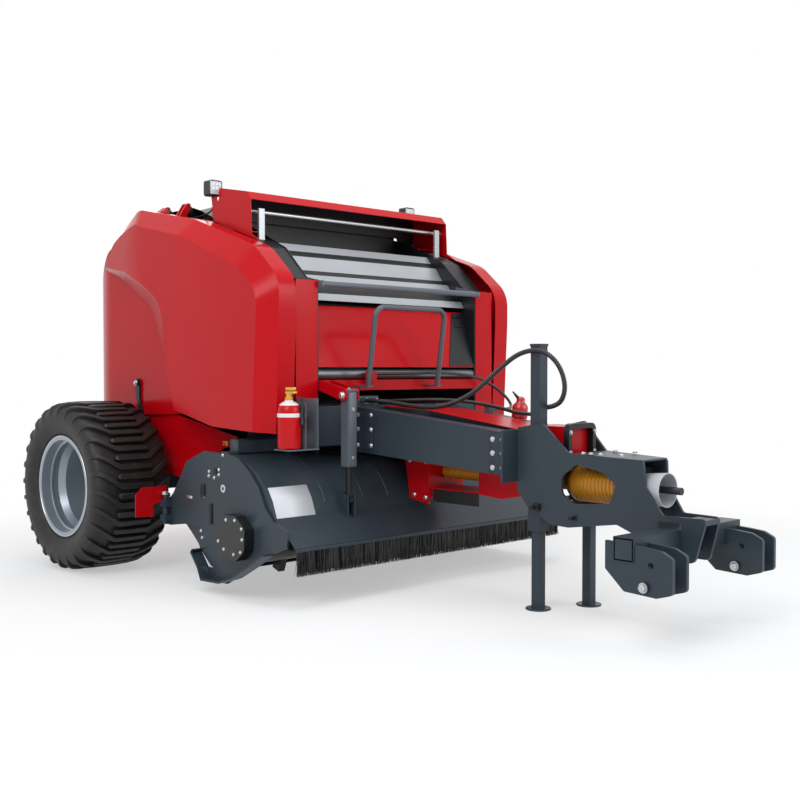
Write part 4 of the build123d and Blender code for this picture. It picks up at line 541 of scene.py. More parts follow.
# Tyres: flotation tyres with a bulged wall, a bead guard and two rows of hooked lugs that
# start on the shoulder, sweep inwards and run straight past the middle between each other.
tyre_rubber = finish_of(
    "tyre_rubber", (29, 28, 28), 0.52, dust=0.16, tone=0.16, peel=0.5, relief=0.0016, Specular_IOR_Level=0.4
)
TYRE_RINGS = 168
CARCASS_ROWS = [
    # across from the middle, radius
    (0.196, 0.288), (0.203, 0.290), (0.204, 0.302), (0.211, 0.314), (0.220, 0.318), (0.226, 0.326),
    (0.225, 0.332), (0.236, 0.352), (0.244, 0.376), (0.2475, 0.398), (0.248, 0.418), (0.2455, 0.438),
    (0.240, 0.454), (0.231, 0.467), (0.215, 0.475), (0.180, 0.479), (0.090, 0.482), (0.0, 0.483),
]
BARS = 28
BAR_ROWS = [
    # across from the middle, turn in metres along the tread, half width at the foot, foot radius, top radius
    (-0.118, -0.030, 0.011, 0.476, 0.498), (-0.104, -0.030, 0.0185, 0.476, 0.5075),
    (0.0, -0.030, 0.0195, 0.476, 0.5095), (0.085, -0.030, 0.020, 0.476, 0.5095),
    (0.104, -0.027, 0.020, 0.476, 0.509), (0.150, 0.004, 0.019, 0.474, 0.507),
    (0.196, 0.034, 0.018, 0.468, 0.502), (0.224, 0.050, 0.017, 0.458, 0.492),
    (0.240, 0.056, 0.016, 0.442, 0.474), (0.2475, 0.058, 0.014, 0.424, 0.448),
    (0.248, 0.058, 0.010, 0.408, 0.418),
]
bm = bmesh.new()
carcass = CARCASS_ROWS + [(-x, r) for x, r in CARCASS_ROWS[-2::-1]]
before = None
for i in range(TYRE_RINGS):
    turn = 2 * math.pi * i / TYRE_RINGS
    ring = [bm.verts.new((x, r * math.sin(turn), r * math.cos(turn))) for x, r in carcass]
    if before:
        ring_faces(bm, before, ring, closed=False)
    else:
        first = ring
    before = ring
ring_faces(bm, before, first, closed=False)
TOP_SHARE = 0.80
TREAD_RADIUS = 0.50
WALL_START = 0.235
WALL_PROUD = 0.0012
for side in (-1, 1):
    for i in range(BARS):
        base_turn = 2 * math.pi * (i + (0 if side > 0 else 0.5)) / BARS
        before = None
        for across_x, swept, half_foot, foot, top in BAR_ROWS:
            half_top = half_foot * TOP_SHARE
            corners = []
            for offset, radius in ((-half_foot, foot), (-half_top, top), (half_top, top), (half_foot, foot)):
                turn = base_turn + (swept + offset) / TREAD_RADIUS
                proud = WALL_PROUD if across_x > WALL_START and radius == top else 0.0
                place = (side * (across_x + proud), radius * math.sin(turn), radius * math.cos(turn))
                corners.append(bm.verts.new(place))
            if before:
                ring_faces(bm, before, corners, closed=False)
            else:
                bm.faces.new(corners)
            before = corners
        bm.faces.new(before[::-1])
TYRE_X = 1150
tyre_mesh = mesh_of("tyre", bm, 32)
for side, suffix in SIDES:
    mesh = tyre_mesh.copy()
    mesh.transform(Matrix.Translation(at(side * TYRE_X, 0, AXLE_Z)))
    tyre = show(
        "tyre_tread_" + suffix, mesh, tyre_rubber, "wheel_" + suffix, ["tyre_" + suffix]
    )
    bevel = tyre.modifiers.new("worn_edges", "BEVEL")
    bevel.width = 0.0025
    bevel.segments = 1
    bevel.limit_method = "ANGLE"
    bevel.angle_limit = math.radians(40)

# Chamber: upright plates, fixed rollers between them, and the red lower walls outside the
# rails. The plates are black enamel, the walls are the body's red.
red_enamel = finish_of(
    "red_enamel", (193, 3, 17), 0.20, dust=0.01, tone=0.07, peel=0.05, relief=0.0004, Specular_IOR_Level=0.2
)
red_frame = finish_of(
    "red_frame", (190, 5, 18), 0.28, dust=0.03, tone=0.08, peel=0.10, relief=0.0005, Specular_IOR_Level=0.2
)
steel_grey = finish_of("steel_grey", (118, 122, 126), 0.34, dust=0.12, tone=0.1, peel=0.1, Metallic=0.75)
dressed("chamber_walls", black_enamel_and_shade)
dressed("chamber_rollers", steel_grey)
eased("lower_walls", 0.0018, red_enamel)
reflector_orange = finish_of(
    "reflector_orange", (236, 120, 20), 0.2, dust=0.02, tone=0.05, peel=0.4, Coat_Weight=0.5
)


def edges_of(block):
    """The edges of a new block, each once, in the order they are met."""
    return list(dict.fromkeys(edge for vert in block["verts"] for edge in vert.link_edges))


def rounded_block(bm, low, high, radius, segments=2):
    """Adds a block between two corners with its edges rounded. Turned forms go in before the
    blocks: with one after a block, the piece's faces came in another order on each run."""
    made = bmesh.ops.create_cube(bm, size=1.0)
    size = high - low
    middle = (high + low) / 2
    for vert in made["verts"]:
        vert.co = vert.co * size + middle
    bmesh.ops.bevel(
        bm, geom=edges_of(made), offset=radius, segments=segments, profile=0.5, affect="EDGES",
        clamp_overlap=True
    )


for side, suffix in SIDES:
    bm = bmesh.new()
    x0, x1 = sorted((side * 843, side * 852))
    rounded_block(bm, at(x0, -985, 776), at(x1, -931, 804), 0.003)
    show_mesh("side_reflector_" + suffix, bm, reflector_orange, "chassis")

# Front: folded red posts and the leaning sheet panel, bolted between the walls, and a welded red
# crossbar with ears below them. A black sheet over the panel's right end is painted shade for the dark
# opening there.
eased("front_panels", 0.0016, red_enamel)
eased("front_crossbar", 0.005, red_frame)
PANEL_TOP_Y = -1418
PANEL_TOP_Z = 1571
PANEL_FOOT_Y = -1522
PANEL_FOOT_Z = 1225
bm = bmesh.new()
# Painted shade: a black sheet just ahead of the panel's right end stands in for the dark opening there, with
# two small black bracket bars on it.
# x, share of the way from the panel's top to its foot
NICHE_SHADE_CORNERS = ((531, 0.02), (631, 0.02), (631, 0.98), (410, 0.98))
niche_shade_outline = []
for x, share in NICHE_SHADE_CORNERS:
    y = PANEL_TOP_Y + (PANEL_FOOT_Y - PANEL_TOP_Y) * share
    z = PANEL_TOP_Z + (PANEL_FOOT_Z - PANEL_TOP_Z) * share
    niche_shade_outline.append((x, y, z))
front = [bm.verts.new(at(x, y - 9, z + 2)) for x, y, z in niche_shade_outline]
back = [bm.verts.new(at(x, y - 3, z)) for x, y, z in niche_shade_outline]
bm.faces.new(front)
ring_faces(bm, front, back)
rounded_block(bm, at(530, -1462, 1478), at(590, -1446, 1484), 0.002)
rounded_block(bm, at(530, -1450, 1540), at(590, -1440, 1546), 0.002)
show_mesh("panel_niche_painted_shade", bm, black_enamel_and_shade, "chassis")
STRUT_X = -580
STRUT_Y = -1722
pin_ends = [(at(STRUT_X + side * 47, STRUT_Y, 1075), (side, 0, 0)) for side in (-1, 1)]
bolt_heads("crossbar_pin_ends", pin_ends, "chassis", 0.03)

# Net box: stepped zinc trays, a thin silver rod, a grey tube and upright bars under the red
# hood. The back is black sheet with rows of small bright studs.
zinc_sheet = finish_of(
    "zinc_sheet", (186, 190, 195), 0.36, dust=0.05, tone=0.12, peel=0.08, relief=0.0005, Metallic=0.6
)
grey_paint = finish_of("grey_paint", (88, 96, 104), 0.36, dust=0.08, tone=0.10, peel=0.12, relief=0.0005)
tray = eased("net_tray", 0.0016, zinc_sheet)
TRAY_FOLD_SHADE = [(-1197, -1150), (-1302, -1250), (-1420, -1343)]


def fold_painted_shade(middle):
    y = (middle.y - AXLE_Y) * 1000
    return abs(middle.x) < 0.64 and any(low < y < high for low, high in TRAY_FOLD_SHADE)


# Painted shade: faces in the tray's folds between its steps get black enamel in place of the zinc, for the
# shade that falls in them.
paint_where(tray, black_enamel_and_shade, fold_painted_shade)
paint_where(dressed("net_rollers", grey_paint), zinc_plate, lambda middle: middle.z > 2.0)
dressed("net_back", black_enamel_and_shade)
STUD_PITCH = 11
STUD_LINES = 5
STUDS = 112
STUD_ROWS = [(0, 0.0026), (0.0016, 0.0034), (0.0016, 0.0)]
bm = bmesh.new()
for row in range(STUD_LINES):
    for column in range(STUDS):
        x = -620 + STUD_PITCH * (column + 0.5 * (row % 2))
        turned(bm, STUD_ROWS, at(x, -801, 2150 + STUD_PITCH * row), (0, -1, 0), 6)
show_mesh("net_back_studs", bm, zinc_sheet, "chassis")
eased("net_hood", 0.007, red_enamel, low=12, high=80, segments=3)
bm = bmesh.new()
rounded_block(bm, at(-628, -1392, 1700), at(628, -1386, 1706), 0.001)
for x in (-600, 560):
    rounded_block(bm, at(x, -1440, 1668), at(x + 44, -1400, 1716), 0.004)
show_mesh("net_tray_trim", bm, black_enamel_and_shade, "chassis")
# y and z of the sheets beside the trays, lying and upright
SHOULDER = [(-1135, 1944), (-1010, 1988), (-826, 2001)]
SHOULDER_BACK = [(-824, 1999), (-823, 2096)]
SHOULDER_X = (634, 786)
APRON = [
    # y, inner z, outer z
    (-200, 2100, 2188), (-262, 2108, 2191), (-330, 2114, 2192), (-480, 2176, 2193), (-560, 2210, 2170),
    (-700, 2244, 2112), (-826, 2258, 2082),
]
APRON_X = (624, 745)


def sheet_between(bm, rows_a, rows_b, thickness=0.003):
    """Adds a thin sheet between two lines of the same count, both its faces."""
    for lift in (0.0, -thickness):
        lines = [[bm.verts.new(place + Vector((0, 0, lift))) for place in rows] for rows in (rows_a, rows_b)]
        ring_faces(bm, *lines, closed=False)


bm = bmesh.new()
for side in (-1, 1):
    for rows in (SHOULDER, SHOULDER_BACK):
        inner, outer = [[at(side * x, y, z) for y, z in rows] for x in SHOULDER_X]
        sheet_between(bm, inner, outer)
    inner = [at(side * APRON_X[0], y, z) for y, z, _ in APRON]
    outer = [at(side * APRON_X[1], y, z) for y, _, z in APRON]
    sheet_between(bm, inner, outer)
show_mesh("net_box_aprons", bm, black_enamel_and_shade, "chassis")

# Side doors: moulded gull-wing covers with a softly bevelled band round a raised field,
# sprayed in the body's red over filler, so every crease is round.
for side, suffix in SIDES:
    eased("side_door_" + suffix, 0.013, red_enamel, low=14, high=70, segments=4)

# Tailgate: a rounded red shell over two black walls with their rollers, hung on the chamber's
# pivots and lifted by a ram on each side. Lamps sit in its rear corners.
eased("tailgate_shell", 0.010, red_enamel, low=14, high=100, segments=3,
      choose=lambda edge: min(v.co.y for v in edge.verts) > AXLE_Y - 0.06 and edge.calc_length() > 0.02)
dressed("tailgate_walls", black_enamel_and_shade)
dressed("tailgate_rollers", steel_grey)
eased("latch_arms", 0.0025, black_enamel_and_shade)
chrome = finish_of("chrome", (214, 216, 218), 0.12, dust=0.03, tone=0.03, peel=0.02, Metallic=1.0)
lens_red = finish_of("lens_red", (104, 4, 10), 0.12, dust=0.02, tone=0.04, peel=0.3, Coat_Weight=0.5)
for suffix in ("right", "left"):
    dressed("ram_barrel_" + suffix, black_enamel_and_shade)
    dressed("ram_rod_" + suffix, chrome)
eased("tail_lamps", 0.004, lens_red)
TAIL_LAMP_X = 430
# x and z of the four edges of a lamp's frame
TAIL_LAMP_EDGES = ((-84, 84, 1258, 1264), (-84, 84, 1186, 1192), (-84, -78, 1186, 1264), (78, 84, 1186, 1264))
TAIL_RING_ROWS = [(0, 0.030), (0.0015, 0.029), (0.0015, 0.024), (0.0, 0.023)]
bm = bmesh.new()
for middle in (-TAIL_LAMP_X, TAIL_LAMP_X):
    for x in (-40, 40):
        turned(bm, TAIL_RING_ROWS, at(middle + x, 727.5, 1225), (0, 1, 0), 32)
for middle in (-TAIL_LAMP_X, TAIL_LAMP_X):
    for x0, x1, z0, z1 in TAIL_LAMP_EDGES:
        rounded_block(bm, at(middle + x0, 720, z0), at(middle + x1, 728, z1), 0.0015)
show_mesh("tail_lamp_rings", bm, black_enamel_and_shade, "tailgate")
bolt_heads("latch_pins", both_sides(887, [(-45, 1130)]), "tailgate", 0.024)

# Head: plate sides with skids, a square tube and arms on the head's pivot, a rolled hood and
# a floor. All welded and painted dark grey, with plated bolts, a white data plate and a rotor.
eased("head_frame", 0.003, frame_paint)
eased("head_hood", 0.0016, frame_paint)
dressed("head_rotor", black_enamel_and_shade)
HEAD_FACE_X = 1072
HEAD_BOLTS = [
    (-1257, 752), (-1126, 656), (-1219, 671), (-1123, 632), (-1175, 625), (-1219, 644), (-1078, 517),
    (-1045, 322), (-1056, 285),
]
bolt_heads("head_side_bolts", both_sides(HEAD_FACE_X, HEAD_BOLTS), "head", 0.013)
PLUG_ROWS = [(0, 0.016), (0.005, 0.016), (0.006, 0.013), (0.006, 0.0)]
EYE_ROWS = [(0, 0.009), (0, 0.022), (0.003, 0.022), (0.003, 0.009)]
bm = bmesh.new()
for side in (-1, 1):
    turned(bm, PLUG_ROWS, at(side * HEAD_FACE_X, -1187, 660), (side, 0, 0), 24)
for side in (-1, 1):
    x0, x1 = sorted((side * HEAD_FACE_X, side * (HEAD_FACE_X + 8)))
    rounded_block(bm, at(x0, -1156, 368), at(x1, -1134, 480), 0.003)
    rounded_block(bm, at(x0, -1086, 512), at(x1, -1050, 582), 0.003)
show_mesh("head_side_trim", bm, black_enamel_and_shade, "head")
bm = bmesh.new()
for side in (-1, 1):
    turned(bm, EYE_ROWS, at(side * HEAD_FACE_X, -1259, 572), (side, 0, 0), 28)
for side in (-1, 1):
    x0, x1 = sorted((side * HEAD_FACE_X, side * (HEAD_FACE_X + 6)))
    rounded_block(bm, at(x0, -965, 492), at(x1, -905, 508), 0.002)
show_mesh("head_side_eyes", bm, zinc_plate, "head")
HOOD_Y = -1290
HOOD_Z = 335
HOOD_END_RADII = (417, 340)
HOOD_END_X = (1050, 1058)
SEAM_RADIUS = 419
CRESCENT = range(92, 165, 8)


def on_hood(x, radius, angle):
    """A place around the hood's middle, by its angle in degrees from straight back."""
    turn = math.radians(angle)
    return at(x, HOOD_Y + radius * math.cos(turn), HOOD_Z + radius * math.sin(turn))


bm = bmesh.new()
for side in (-1, 1):
    for x in HOOD_END_X:
        rim_line, low_line = [[on_hood(side * x, radius, a) for a in CRESCENT] for radius in HOOD_END_RADII]
        for i in range(len(CRESCENT) - 1):
            corners = (rim_line[i], rim_line[i + 1], low_line[i + 1], low_line[i])
            bm.faces.new([bm.verts.new(place) for place in corners])
show_mesh("hood_ends", bm, frame_paint, "head")
bm = bmesh.new()
SEAM_X = (-700, -430, -240, 180, 560)
# across in millimetres, lift in metres
SEAM_PROFILE = ((-8, 0), (-5, 0.004), (5, 0.004), (8, 0))
for x in SEAM_X:
    before = None
    for angle in CRESCENT[:-1]:
        out = Vector((0, math.cos(math.radians(angle)), math.sin(math.radians(angle))))
        ring = [bm.verts.new(on_hood(x + dx, SEAM_RADIUS, angle) + out * lift) for dx, lift in SEAM_PROFILE]
        if before:
            ring_faces(bm, before, ring, closed=False)
        before = ring
show_mesh("hood_seams", bm, frame_paint, "head", crease=50)
plate_white = finish_of("plate_white", (222, 226, 230), 0.45, dust=0.12, tone=0.08, peel=0.05, relief=0.0004)
LABEL_X = (-1046, -790)
# angle on the hood, radius
LABEL_ROWS = ((141, 422), (152, 422), (164, 422), (166, 421))
bm = bmesh.new()
label_lines = [[bm.verts.new(on_hood(x, radius, angle)) for x in LABEL_X] for angle, radius in LABEL_ROWS]
for line_a, line_b in zip(label_lines, label_lines[1:]):
    ring_faces(bm, line_a, line_b, closed=False)
label = show_mesh("data_plate", bm, plate_white, "head")
thick = label.modifiers.new("sheet", "SOLIDIFY")
thick.thickness = 0.0012
thick.offset = 0

# Brush curtain: thousands of stiff black bristles in a folded strip along the deflector's
# lip, each a little bent and cut to a slightly ragged line.
bristle_black = finish_of("bristle_black", (26, 27, 29), 0.32, dust=0.1, tone=0.25, peel=0.2)
BRUSH_TOP = 300
BRUSH_FOOT = 168
BRISTLES = 3600
BRISTLE_WIDTH = 1.5
BRUSH_HALF = 1046
BRUSH_Y = -1862
# share of the way down, share of the width
BRISTLE_ROWS = ((0.0, 1.0), (0.5, 0.95), (1.0, 0.45))
bm = bmesh.new()
for i in range(BRISTLES):
    x = -BRUSH_HALF + 2 * BRUSH_HALF * (i + random.uniform(-0.4, 0.4)) / (BRISTLES - 1)
    y = BRUSH_Y + random.uniform(-5, 5)
    lean = random.gauss(0, 6) + 5 * math.sin(x / 31)
    forward = random.gauss(0, 3)
    foot = BRUSH_FOOT + abs(random.gauss(0, 5))
    twist = random.uniform(0, math.pi)
    before = None
    for share, width in BRISTLE_ROWS:
        bend = share * share
        centre = Vector((x + lean * bend, y + forward * bend, BRUSH_TOP + (foot - BRUSH_TOP) * share))
        ring = []
        for k in range(3):
            turn = twist + k * 2 * math.pi / 3
            reach = BRISTLE_WIDTH * width
            place = at(centre.x + reach * math.cos(turn), centre.y + reach * math.sin(turn), centre.z)
            ring.append(bm.verts.new(place))
        if before:
            ring_faces(bm, before, ring)
        before = ring
    bm.faces.new(before)
show_mesh("brush_bristles", bm, bristle_black, "head", ["brush_curtain"], crease=80)
bm = bmesh.new()
rounded_block(bm, at(-1050, -1871, 294), at(1050, -1852, 312), 0.002)
show_mesh("brush_strip", bm, frame_paint, "head")
bm = bmesh.new()
rounded_block(bm, at(-1044, -1863, 186), at(1044, -1860, 300), 0.001)
show_mesh("brush_root", bm, bristle_black, "head")

# Drive cover and bearing cap on the head's ends: moulded black plastic held by plated
# screws, and red bumper plates on pins ahead of the tyres.
black_plastic = finish_of("black_plastic", (20, 21, 23), 0.30, dust=0.10, tone=0.1, peel=0.3)
eased("gear_cover", 0.012, black_plastic, low=50, segments=3)
GEAR_SCREWS = [
    (-1372, 420), (-1450, 424), (-1510, 385), (-1515, 330), (-1350, 262), (-1440, 244), (-1500, 262),
    (-1300, 300)
]
gear_screws = [(at(-1134, y, z), (-1, 0, 0)) for y, z in GEAR_SCREWS]
CAP_SCREW_TURNS = (0.4, 1.97, 3.54, 5.11)
for turn in CAP_SCREW_TURNS:
    gear_screws.append((at(1100, -1405 + 66 * math.cos(turn), 325 + 66 * math.sin(turn)), (1, 0, 0)))
bolt_heads("gear_cover_screws", gear_screws, "head", 0.013)
BUMPER_LUG_Y = 0.7004
bumpers = eased("bumpers", 0.004, red_frame)
paint_where(bumpers, frame_paint, lambda middle: middle.y < AXLE_Y - BUMPER_LUG_Y)
bumper_pins = [(at(side * 1100, -725, 500), (0, 0, 1)) for side in (-1, 1)]
bolt_heads("bumper_pin_heads", bumper_pins, "head", 0.034)

# Lift strut: a zinc channel hung from the crossbar's ears, with a black rod that slides in
# it down to the lugs on the hood.
eased("strut_channel", 0.004, grey_paint)
dressed("strut_rod", black_enamel_and_shade)
bm = bmesh.new()
rounded_block(bm, at(-614, -1756, 1096), at(-546, -1688, 1108), 0.003)
rounded_block(bm, at(-606, -1757, 700), at(-554, -1752, 1090), 0.002)
show_mesh("strut_cap", bm, grey_paint, "strut_channel_body")
strut_bolts = [(at(STRUT_X, -1757, z), (0, -1, 0)) for z in (740, 1000)]
strut_bolts.append((at(STRUT_X, STRUT_Y, 1108), (0, 0, 1)))
bolt_heads("strut_bolts", strut_bolts, "strut_channel_body", 0.014)

# Drawbar: two sloping box beams with bolted flanges on a crossmember, a red cover between
# them and the red gearbox below, whose rubber flap hangs beside the shaft.
eased(
    "drawbar_beams", 0.007, frame_paint, low=60, choose=lambda edge: edge.calc_length() > 0.12,
    segments=3
)
REAR_FLANGE_BOLTS = [(-392, 985), (-392, 775), (-335, 988), (-283, 985), (-283, 775), (-283, 880)]
BEAM_SIDE_REAR = (-385, -1544)
BEAM_SIDE_FRONT = (-272, -2570)
SIDE_PLATES = [
    # middle along the beam, middle height, length, height, columns and rows of bolts
    (-2522, 786, 100, 205, (-2552, -2492), (860, 790, 716)),
    (-1628, 876, 128, 214, (-1580, -1676), (960, 880, 792)),
]
SIDE_PLATE = 0.008
beam_lean = math.atan2(BEAM_SIDE_FRONT[0] - BEAM_SIDE_REAR[0], BEAM_SIDE_REAR[1] - BEAM_SIDE_FRONT[1])


def beam_side_x(y):
    share = (y - BEAM_SIDE_REAR[1]) / (BEAM_SIDE_FRONT[1] - BEAM_SIDE_REAR[1])
    return BEAM_SIDE_REAR[0] + (BEAM_SIDE_FRONT[0] - BEAM_SIDE_REAR[0]) * share


beam_bolts = []
bm = bmesh.new()
for side in (-1, 1):
    for x, z in REAR_FLANGE_BOLTS:
        beam_bolts.append((at(-side * x, -1544, z), (0, -1, 0)))
    outward = Vector((side * math.cos(beam_lean), -math.sin(beam_lean), 0))
    for y, z, length, height, columns, rows in SIDE_PLATES:
        plate = bmesh.ops.create_cube(bm, size=1.0)
        turn = Matrix.Rotation(-side * beam_lean, 4, "Z")
        middle = at(-side * beam_side_x(y), y, z) + outward * 0.003
        for vert in plate["verts"]:
            local = Vector((vert.co.x * SIDE_PLATE, vert.co.y * length / 1000, vert.co.z * height / 1000))
            vert.co = middle + turn @ local
        bmesh.ops.bevel(bm, geom=edges_of(plate), offset=0.002, segments=2, profile=0.5, affect="EDGES")
        for bolt_y in columns:
            for bolt_z in rows:
                beam_bolts.append(
                    (at(-side * beam_side_x(bolt_y), bolt_y, bolt_z) + outward * 0.007, outward)
                )
bolt_heads("beam_flange_bolts", beam_bolts, "chassis", 0.019)
show_mesh("beam_side_plates", bm, frame_paint, "chassis")
eased("driveline_cover", 0.0012, red_frame, low=10)
eased("gearbox", 0.003, red_frame)
flap_rubber = finish_of("flap_rubber", (22, 22, 23), 0.5, dust=0.2, tone=0.1, peel=0.5)
eased("gearbox_flap", 0.001, flap_rubber)
GEARBOX_BOLTS = ((-1868, 500), (-1780, 510), (-1868, 700), (-1740, 700))
bolt_heads("gearbox_bolts", both_sides(140, GEARBOX_BOLTS), "chassis", 0.018)

# Driveline: a shaft in a yellow plastic guard with ribbed bells, turning with the rotor, and
# a splined steel stub for the tractor's shaft in its pale bell guard.
guard_yellow = finish_of("guard_yellow", (190, 126, 12), 0.36, dust=0.3, tone=0.2, peel=0.25)
splined_steel = finish_of("splined_steel", (70, 72, 75), 0.3, dust=0.05, tone=0.1, peel=0.05, Metallic=0.9)
guard_pale = finish_of("guard_pale", (196, 200, 204), 0.36, dust=0.08, tone=0.05, peel=0.1)
SHAFT_Z = 645
BELL_RIBS = 12
TUBE_RIBS = 40
SPLINES = 21
guard_rows = [(0.0, 0.0), (0.0, 0.060), (0.070, 0.060), (0.072, 0.078), (0.082, 0.088), (0.092, 0.090)]
for rib in range(BELL_RIBS):
    start = 0.100 + rib * 0.022
    guard_rows += [(start, 0.090), (start + 0.002, 0.094), (start + 0.009, 0.094), (start + 0.011, 0.090)]
guard_rows += [(0.370, 0.088), (0.378, 0.070), (0.380, 0.052), (0.420, 0.046)]
for rib in range(TUBE_RIBS):
    start = 0.440 + rib * 0.020
    guard_rows += [(start, 0.040), (start + 0.003, 0.042), (start + 0.012, 0.042), (start + 0.015, 0.040)]
guard_rows += [(1.27, 0.041), (1.287, 0.041), (1.289, 0.020), (1.337, 0.020), (1.337, 0.0)]
bm = bmesh.new()
turned(bm, guard_rows, at(0, -3190, SHAFT_Z), (0, 1, 0), 44)
show_mesh("driveline_guard", bm, guard_yellow, "driveline_body", ["driveline"], crease=30)
dressed("input_shaft", splined_steel)
dressed("input_guard", guard_pale)
bm = bmesh.new()
for i in range(SPLINES):
    turn = 2 * math.pi * i / SPLINES
    tooth = bmesh.ops.create_cube(bm, size=1.0)
    spin = Matrix.Rotation(turn, 3, "Y")
    for vert in tooth["verts"]:
        local = Vector((vert.co.x * 0.0024, vert.co.y * 0.068, 0.0168 + vert.co.z * 0.0022))
        vert.co = at(0, -3375, SHAFT_Z) + spin @ local
show_mesh("shaft_splines", bm, splined_steel, "driveline_body")

# Nose: two tapering plates with webs, leg sleeves and a window, a red guard box in a round
# black frame at its rear top, and the plate where the hoses end.
eased("nose_frame", 0.003, frame_paint, low=40)
# x and y of the plates' rear and front ends
NOSE_REAR = (200, -2584)
NOSE_FRONT = (62, -3590)
NOSE_TAPER = (NOSE_REAR[0] - NOSE_FRONT[0]) / (NOSE_REAR[1] - NOSE_FRONT[1])
# Painted shade: two black sheets just inside the nose plate fill its window and stand in for the dark inside
# seen through it.
WINDOW_SHADE_OUTLINE = [
    (-2820, 772), (-2820, 560), (-2900, 540), (-3115, 552), (-3145, 680), (-3060, 735), (-2917, 768)
]
bm = bmesh.new()
for depth in (19, 21):
    corners = [(NOSE_REAR[0] - NOSE_TAPER * (NOSE_REAR[1] - y) - depth, y, z) for y, z in WINDOW_SHADE_OUTLINE]
    bm.faces.new([bm.verts.new(at(*corner)) for corner in corners])
show_mesh("window_painted_shade", bm, black_enamel_and_shade, "chassis")
eased("nose_box", 0.003, red_frame)
eased("nose_box_frame", 0.007, black_enamel_and_shade, segments=3)
eased("hose_bulkhead", 0.0015, frame_paint)
eased("hose_manifold", 0.003, grey_paint)
NOSE_BOLTS = ((-130, -2940), (-128, -2985), (-126, -3040), (-110, -3150), (110, -2960), (105, -3080))
nose_bolts = [(at(x, y, 801), (0, 0, 1)) for x, y in NOSE_BOLTS]
bolt_heads("nose_bolts", nose_bolts, "chassis", 0.020)
box_bolts = [(at(x, -2840, z), (0, -1, 0)) for x in (-99, 99) for z in (800, 900)]
bolt_heads("nose_box_bolts", box_bolts, "chassis", 0.016)
bm = bmesh.new()
FITTINGS = [
    # hose's end, the way it points, radius
    (MAIN_HOSE[0], -1, 0.019), (SECOND_HOSE[0], -1, 0.016), (MAIN_HOSE[-1], -1, 0.019),
    (SECOND_HOSE[-1], 1, 0.016),
]
for end, way, radius in FITTINGS:
    neck = radius * 0.9
    nut_rows = [
        (0, radius * 0.85), (0, radius), (0.018, radius), (0.020, neck), (0.030, neck),
        (0.030, radius * 0.72)
    ]
    turned(bm, nut_rows, at(*end), (0, way, 0), 6)
show_mesh("hose_nuts", bm, zinc_plate, "chassis")

# Hitch: a square cross tube through the nose with two forked ears a side for the tractor's
# lower links, and long bolts through the ears.
eased("cross_tube", 0.005, frame_paint, low=50)
bm = bmesh.new()
for x0, x1 in ((-455, -441), (441, 455)):
    rounded_block(bm, at(x0, -3453, 371), at(x1, -3347, 477), 0.003)
show_mesh("tube_ends", bm, frame_paint, "chassis")
hitch_bolts = []
for side in (-1, 1):
    hitch_bolts.append((at(side * 464, -3508, 272), (side, 0, 0)))
    hitch_bolts.append((at(side * 306, -3508, 272), (-side, 0, 0)))
bolt_heads("hitch_bolt_heads", hitch_bolts, "chassis", 0.032)

# Parking legs: square tubes that slide in sleeves and stand on round pressed feet, each
# held by a black cross pin with a head.
for side, suffix in SIDES:
    eased("leg_" + suffix, 0.004, frame_paint, low=40)
bm = bmesh.new()
LEG_PINS = ((-196, -2700, 508), (-150, -2905, 470))
PIN_ROWS = [(0, 0.0), (0, 0.007), (0.05, 0.007), (0.052, 0.011), (0.058, 0.011), (0.06, 0.0)]
for x, y, z in LEG_PINS:
    turned(bm, PIN_ROWS, at(x + 20, y, z + 17), (-1, 0, 0), 16)
for x, y, z in LEG_PINS:
    rounded_block(bm, at(x - 6, y - 20, z), at(x + 14, y + 20, z + 34), 0.004)
show_mesh("leg_pins", bm, black_enamel_and_shade, "chassis")

# Handrail: a round steel tube bent into a loop above the drawbar, painted dark grey and
# welded to two small feet on the crossbar.
rail_paint = finish_of("rail_paint", (76, 83, 90), 0.32, dust=0.05, tone=0.08, peel=0.1, relief=0.0005)
dressed("handrail", rail_paint)

# Fire extinguisher: a red steel bottle with a pale band, a brass-yellow valve with its
# levers and a black nozzle, strapped in a grey bracket on the right front post.
bottle_red = finish_of(
    "bottle_red", (196, 8, 18), 0.2, dust=0.02, tone=0.03, peel=0.06, relief=0.0004, Specular_IOR_Level=0.25
)
pale_sheet = finish_of("pale_sheet", (232, 232, 230), 0.4, dust=0.04, tone=0.03, peel=0.05)
valve_yellow = finish_of("valve_yellow", (214, 172, 70), 0.3, dust=0.05, tone=0.06, peel=0.1, Metallic=0.5)
BOTTLE = at(-930, -1650, 797.5)
bm = bmesh.new()
BOTTLE_ROWS = [
    (0.0, 0.0), (0.0, 0.050), (0.004, 0.058), (0.012, 0.0615), (0.196, 0.0615), (0.214, 0.059),
    (0.230, 0.051), (0.242, 0.038), (0.248, 0.024), (0.252, 0.018), (0.262, 0.018), (0.262, 0.0),
]
turned(bm, BOTTLE_ROWS, BOTTLE, (0, 0, 1), 48)
show_mesh("bottle", bm, bottle_red, "chassis", ["fire_extinguisher"])
bm = bmesh.new()
turned(bm, [(0.168, 0.0605), (0.168, 0.0620), (0.188, 0.0620), (0.188, 0.0605)], BOTTLE, (0, 0, 1), 48)
turned(
    bm, [(0.229, 0.0515), (0.230, 0.0525), (0.243, 0.0385), (0.249, 0.0245), (0.256, 0.0205)], BOTTLE,
    (0, 0, 1), 48
)
show_mesh("bottle_band", bm, pale_sheet, "chassis")
bm = bmesh.new()
turned(
    bm, [(0.258, 0.0), (0.258, 0.021), (0.270, 0.021), (0.272, 0.015), (0.292, 0.015), (0.294, 0.0)], BOTTLE,
    (0, 0, 1), 20
)
rounded_block(bm, BOTTLE + Vector((-0.012, -0.055, 0.290)), BOTTLE + Vector((0.012, 0.020, 0.302)), 0.003)
